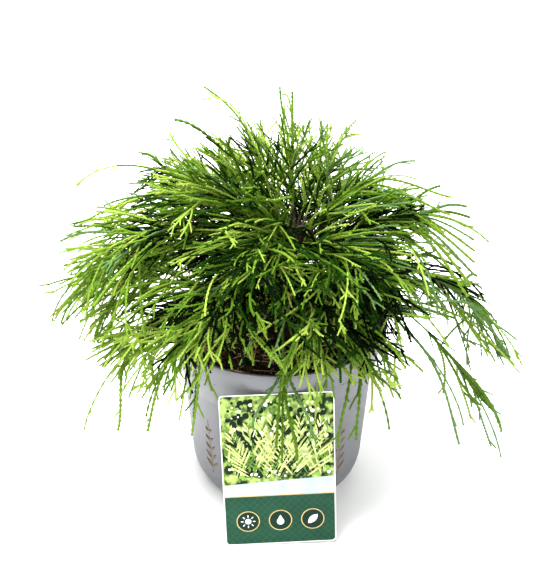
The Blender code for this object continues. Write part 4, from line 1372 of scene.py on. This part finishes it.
    def keep(self, paths: np.ndarray, owners: np.ndarray, tier: Tier, spare: float = 0.004) -> Arrays:
        """Shorten threads to where they leave the crown's room, and drop those left too short.

        Args:
            paths: N paths.
            owners: N numbers of their limbs in the tier.
            tier: the tier.
            spare: how far past the limb's room and hem they may go.

        Returns:
            The kept paths and the numbers that they had.
        """
        rings = paths.shape[1]
        hems = np.array([sweep.hem for sweep in tier.sweeps])[owners] - spare
        rooms = np.array([sweep.room for sweep in tier.sweeps])[owners] + spare
        out = np.hypot(paths[..., 0], paths[..., 1])
        aside, level = paths[..., 0] - self.axis[0], paths[..., 2]
        from_axis = np.hypot(aside, paths[..., 1] - self.axis[1])
        fine = level > hems[:, None] + self.rng.normal(0.0, 0.010, len(paths))[:, None]
        fine &= from_axis < rooms[:, None] + self.rng.normal(0.0, 0.006, len(paths))[:, None]
        roof = self.roof_top - self.roof_tilt * aside - self.roof_fall * from_axis ** 2
        roof -= np.clip(self.eaves_slope * (aside - self.eaves_start), 0.0, self.eaves_drop)
        left, right = self.window_sides
        window = (paths[..., 0] > left) & (paths[..., 0] < right) & (paths[..., 1] < self.window_back)
        fine &= ~(window & (level < self.window_top))
        gap = (paths[..., 0] > self.gap_sides[0]) & (paths[..., 0] < self.gap_sides[1])
        gap &= (paths[..., 1] > self.gap_depth[0]) & (paths[..., 1] < self.gap_depth[1])
        sight = level + self.gap_tilt * paths[..., 1]
        gap &= (sight > self.gap_levels[0]) & (sight < self.gap_levels[1])
        fine &= ~(gap & (self.rng.random(len(paths)) > self.gap_share)[:, None])
        fine &= level < roof + self.rng.normal(0.0, 0.009, len(paths))[:, None]
        over_pot = level > self.pot.height + 0.0015
        fine &= over_pot | (out > self.pot.rim_radius + 0.0015)
        stop = np.where(fine.all(axis=1), rings - 1, np.argmin(fine, axis=1) - 1)
        kept = np.flatnonzero(stop > 0.35 * rings)
        places = np.linspace(0.0, 1.0, rings)[None] * stop[kept, None]
        return resample(paths[kept], places), kept

    def pressed(self, paths: np.ndarray) -> np.ndarray:
        """Return paths that hang back within the frame's reach towards the viewer."""
        past = np.maximum(self.press_start - paths[..., 1], 0.0)
        held = paths.copy()
        held[..., 1] += past - self.press_room * (1.0 - np.exp(-past / self.press_room))
        return held

    def build(self, kit: ShaderKit, bark: bpy.types.Material) -> None:
        """Build and dress the whole crown.

        Args:
            kit: the shared node groups.
            bark: the bark's material.
        """
        tones = {tone: ThreadFinish(tone, shine=0.03 if tone in DARK_TONES else 0.11).material(kit)
                 for tone in Tone}
        for tier in TIERS:
            arches = np.array([self.arch(tier, order) for order in range(len(tier.sweeps))])
            self._limbs(tier, arches, bark)
            self._foliage(tier, arches, tones)

    def _limbs(self, tier: Tier, arches: np.ndarray, bark: bpy.types.Material) -> None:
        """Build the tier's bare boughs."""
        rings = 24
        places = np.tile(np.linspace(0.02, tier.bough, rings) * (arches.shape[1] - 1), (len(arches), 1))
        paths = resample(arches, places)
        radii = np.tile(np.linspace(self.bough_foot_radius, self.bough_tip_radius, rings), (len(arches), 1))
        radii *= 1 + self.rng.normal(0.0, 0.05, radii.shape)
        piece = mesh_piece(f"boughs_{tier.name}", *tubes(paths, radii, 10))
        piece.data.materials.append(bark)
        place(piece, "bark", *[f"bough_{tier.name}_{order + 1}" for order in range(len(arches))])

    def _whips(self, tier: Tier, arches: np.ndarray) -> np.ndarray:
        """Return the tier's long single threads."""
        paths = []
        for whip in WHIPS + BUNCH:
            if whip.tier != tier.name:
                continue
            limb = arches[whip.limb - 1]
            leave = int(whip.leave * (len(limb) - 1))
            turn, fall = math.radians(whip.azimuth), math.radians(whip.fall)
            end = np.array((math.cos(fall) * math.cos(turn), math.cos(fall) * math.sin(turn), -math.sin(fall)))
            paths.append(self.curve(limb[leave], unit(limb[leave + 1] - limb[leave]),
                                    self.spot(whip.azimuth, whip.reach, whip.tip), end, self.thread_rings))
        return np.array(paths)

    def _foliage(self, tier: Tier, arches: np.ndarray, tones: dict[Tone, bpy.types.Material]) -> None:
        """Build the tier's stems, threads, shoots and inner twigs, one piece a tone."""
        last = arches.shape[1] - 1
        count = len(arches)
        stems = resample(arches, np.tile(np.linspace(tier.bough, 1.0, self.thread_rings) * last, (count, 1)))
        habit = HABITS[tier.name]
        span = np.linalg.norm(np.diff(arches, axis=1), axis=2).sum(1)
        owners = np.repeat(np.arange(count), habit.threads)
        fill = np.array([sweep.fill for sweep in tier.sweeps])
        room = span[owners] * (1 - tier.bough)
        first = self.branch(stems, habit.threads, (0.0, 0.75), (4, habit.spread), habit.lift,
                            np.clip(room * self.rng.uniform(0.55, 1.15, len(owners)), 0.05, 0.16),
                            tier.sag, self.thread_rings, habit.bow)
        first, kept = self.keep(first, owners, tier)
        dense = self.rng.random(len(kept)) < fill[owners[kept]]
        first, kept = first[dense], kept[dense]
        owners = np.concatenate((np.arange(count), owners[kept]))
        first = np.concatenate((stems, first))
        sprays = np.repeat(np.arange(len(first)), habit.seconds)
        second = self.branch(first, habit.seconds, (0.06, 0.80), (14, 44), (-26, 28),
                             self.rng.uniform(0.035, 0.105, len(sprays)), tier.sag, self.thread_rings,
                             habit.bow, 0.160)
        second, chosen = self.keep(second, owners[sprays], tier)
        twigs = resample(arches, np.tile(np.linspace(0.5 * tier.bough, 0.75, self.thread_rings) * last,
                                         (count, 1)))
        inner_owners = np.repeat(np.arange(count), habit.inner)
        inner = self.branch(twigs, habit.inner, (0.0, 1.0), (18, 70), (-62, 40),
                            self.rng.uniform(0.018, 0.058, len(inner_owners)), 6.0, self.twig_rings)
        inner, kept = self.keep(inner, inner_owners, tier, -0.030)
        inner = inner[self.rng.random(len(kept)) < fill[inner_owners[kept]]]
        first_tones = self._tones(first, self._painted_shade(first, owners, tier))
        second_painted_shade = self._painted_shade(second, owners[sprays[chosen]], tier)
        mixed = (self.rng.random(len(second)) < self.spray_mix) | (second_painted_shade > 0)
        second_tones = np.where(mixed, self._tones(second, second_painted_shade), first_tones[sprays[chosen]])
        inner_tones = self.rng.choice(len(Tone), len(inner), p=habit.inner_shares)
        whips = self._whips(tier, arches)
        whip_tones = self.rng.choice(len(Tone), len(whips), p=WHIP_SHARES)
        self._deal(tier, np.concatenate((first, second)), np.concatenate((first_tones, second_tones)),
                   whips, whip_tones, inner, inner_tones, tones)

    def _painted_shade(self, threads: np.ndarray, owners: np.ndarray, tier: Tier) -> np.ndarray:
        """Return each thread's chance to be painted shade in the darkest tone: none at the hem, nor at the rim
        except in front.
        """
        tips = threads[:, -1]
        rooms = np.array([sweep.room for sweep in tier.sweeps])[owners]
        hems = np.array([sweep.hem for sweep in tier.sweeps])[owners]
        from_axis = np.hypot(tips[:, 0] - self.axis[0], tips[:, 1] - self.axis[1])
        before = (tips[:, 1] < self.front) & (np.abs(tips[:, 0] - self.axis[0]) < self.front_half)
        inside = (from_axis < self.rim_share * rooms) | before
        return HABITS[tier.name].dusk * (inside & (tips[:, 2] > hems + self.rim_height))

    def _tones(self, threads: np.ndarray, dusk: np.ndarray) -> np.ndarray:
        """Draw a tone's number for each thread, by the side of the crown that its tip is on.

        Args:
            threads: N paths.
            dusk: N chances to be in the darkest tone, painted shade for the crown's shadow, on the side that shows
                the most of it. Threads with none of it stand at the crown's rim and take no deep tone either, as
                the deep tone is painted shade too.

        Returns:
            N numbers.
        """
        shade, deep = list(Tone).index(Tone.SHADE), list(Tone).index(Tone.DEEP)
        tips = threads[:, -1] - (self.axis[0], self.axis[1], 0.0)
        azimuth = np.degrees(np.arctan2(tips[:, 1], tips[:, 0]))
        chosen = np.empty(len(threads), dtype=int)
        for side in Side:
            low, high = side.value
            here = np.flatnonzero((azimuth >= low) & (azimuth < high))
            weights = np.array(TONE_SHARES[side])
            rim_weights = np.where(np.arange(len(weights)) == deep, 0.0, weights)
            inside = self.rng.choice(len(weights), len(here), p=weights / weights.sum())
            at_rim = self.rng.choice(len(weights), len(here), p=rim_weights / rim_weights.sum())
            chosen[here] = np.where(dusk[here] > 0, inside, at_rim)
            # painted shade: threads inside the crown turn near black to stand for its shadow
            dark = self.rng.random(len(here)) < PAINTED_SHADE_SHARES[side] * dusk[here]
            chosen[here[dark]] = shade
        return chosen

    def _deal(self, tier: Tier, threads: np.ndarray, tones: np.ndarray, whips: np.ndarray,
              whip_tones: np.ndarray, inner: np.ndarray, inner_tones: np.ndarray,
              finishes: dict[Tone, bpy.types.Material]) -> None:
        """Deal threads, their shoots, the whips and the inner twigs out to one joined piece a tone.

        Args:
            tier: the tier they belong to.
            threads: paths of the long threads.
            tones: the number of each thread's tone.
            whips: paths of the single long threads.
            whip_tones: the number of each whip's tone.
            inner: paths of the inner twigs.
            inner_tones: the number of each inner twig's tone.
            finishes: the material of each tone.
        """
        names = [f"foliage_{tier.name}_{order + 1}" for order in range(len(tier.sweeps))]
        full = HABITS[tier.name].thickness
        knob = 1 + 0.26 * np.where(np.arange(self.thread_rings) % 2, 1.0, -1.0)
        taper = np.linspace(1.0, 0.84, self.thread_rings) * knob
        short_taper = np.linspace(1.0, 0.75, self.shoot_rings)
        twig_taper = np.linspace(1.0, 0.6, self.twig_rings)
        for number, tone in enumerate(Tone):
            parts = []
            single, twigs = whips[whip_tones == number], inner[inner_tones == number]
            own = np.concatenate((threads[tones == number], single))
            if len(own):
                count = len(own) * self.shoots
                shoots = self.branch(own, self.shoots, (0.30, 0.95), (16, 36), (-15, 20),
                                     self.rng.uniform(0.004, 0.015, count), 4.0, self.shoot_rings, 14.0)
                thick = full * self.rng.uniform(0.8, 1.1, len(own))[:, None]
                thick[len(own) - len(single):] *= self.whip_girth
                parts.append(tubes(self.pressed(own), thick * taper, 4))
                parts.append(tubes(self.pressed(shoots), np.tile(0.82 * full * short_taper, (count, 1)), 4))
            if len(twigs):
                parts.append(tubes(self.pressed(twigs), np.tile(0.8 * full * twig_taper, (len(twigs), 1)), 3))
            if not parts:
                continue
            piece = mesh_piece(f"threads_{tier.name}_{tone.name.lower()}", *joined(parts), smooth=False)
            piece.data.materials.append(finishes[tone])
            place(piece, "foliage", *names)


def main() -> None:
    """Build every sub-assembly in order."""
    logging.basicConfig(level=logging.INFO, format="%(message)s")
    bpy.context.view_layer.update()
    kit = ShaderKit()
    Studio().build()
    pot = Pot()
    pot.build(kit)
    Soil().build(kit)
    CareCard().build(kit)
    bark = MottledFinish("bark_brown", (0.070, 0.042, 0.024), (0.016, 0.010, 0.006), scale=170.0,
                         contrast=3.0, smooth=0.75, rough=0.95, bump=0.0008).material(kit)
    trunk = Trunk()
    trunk.build(bark)
    Crown(trunk, pot).build(kit, bark)


if __name__ == "__main__":
    main()
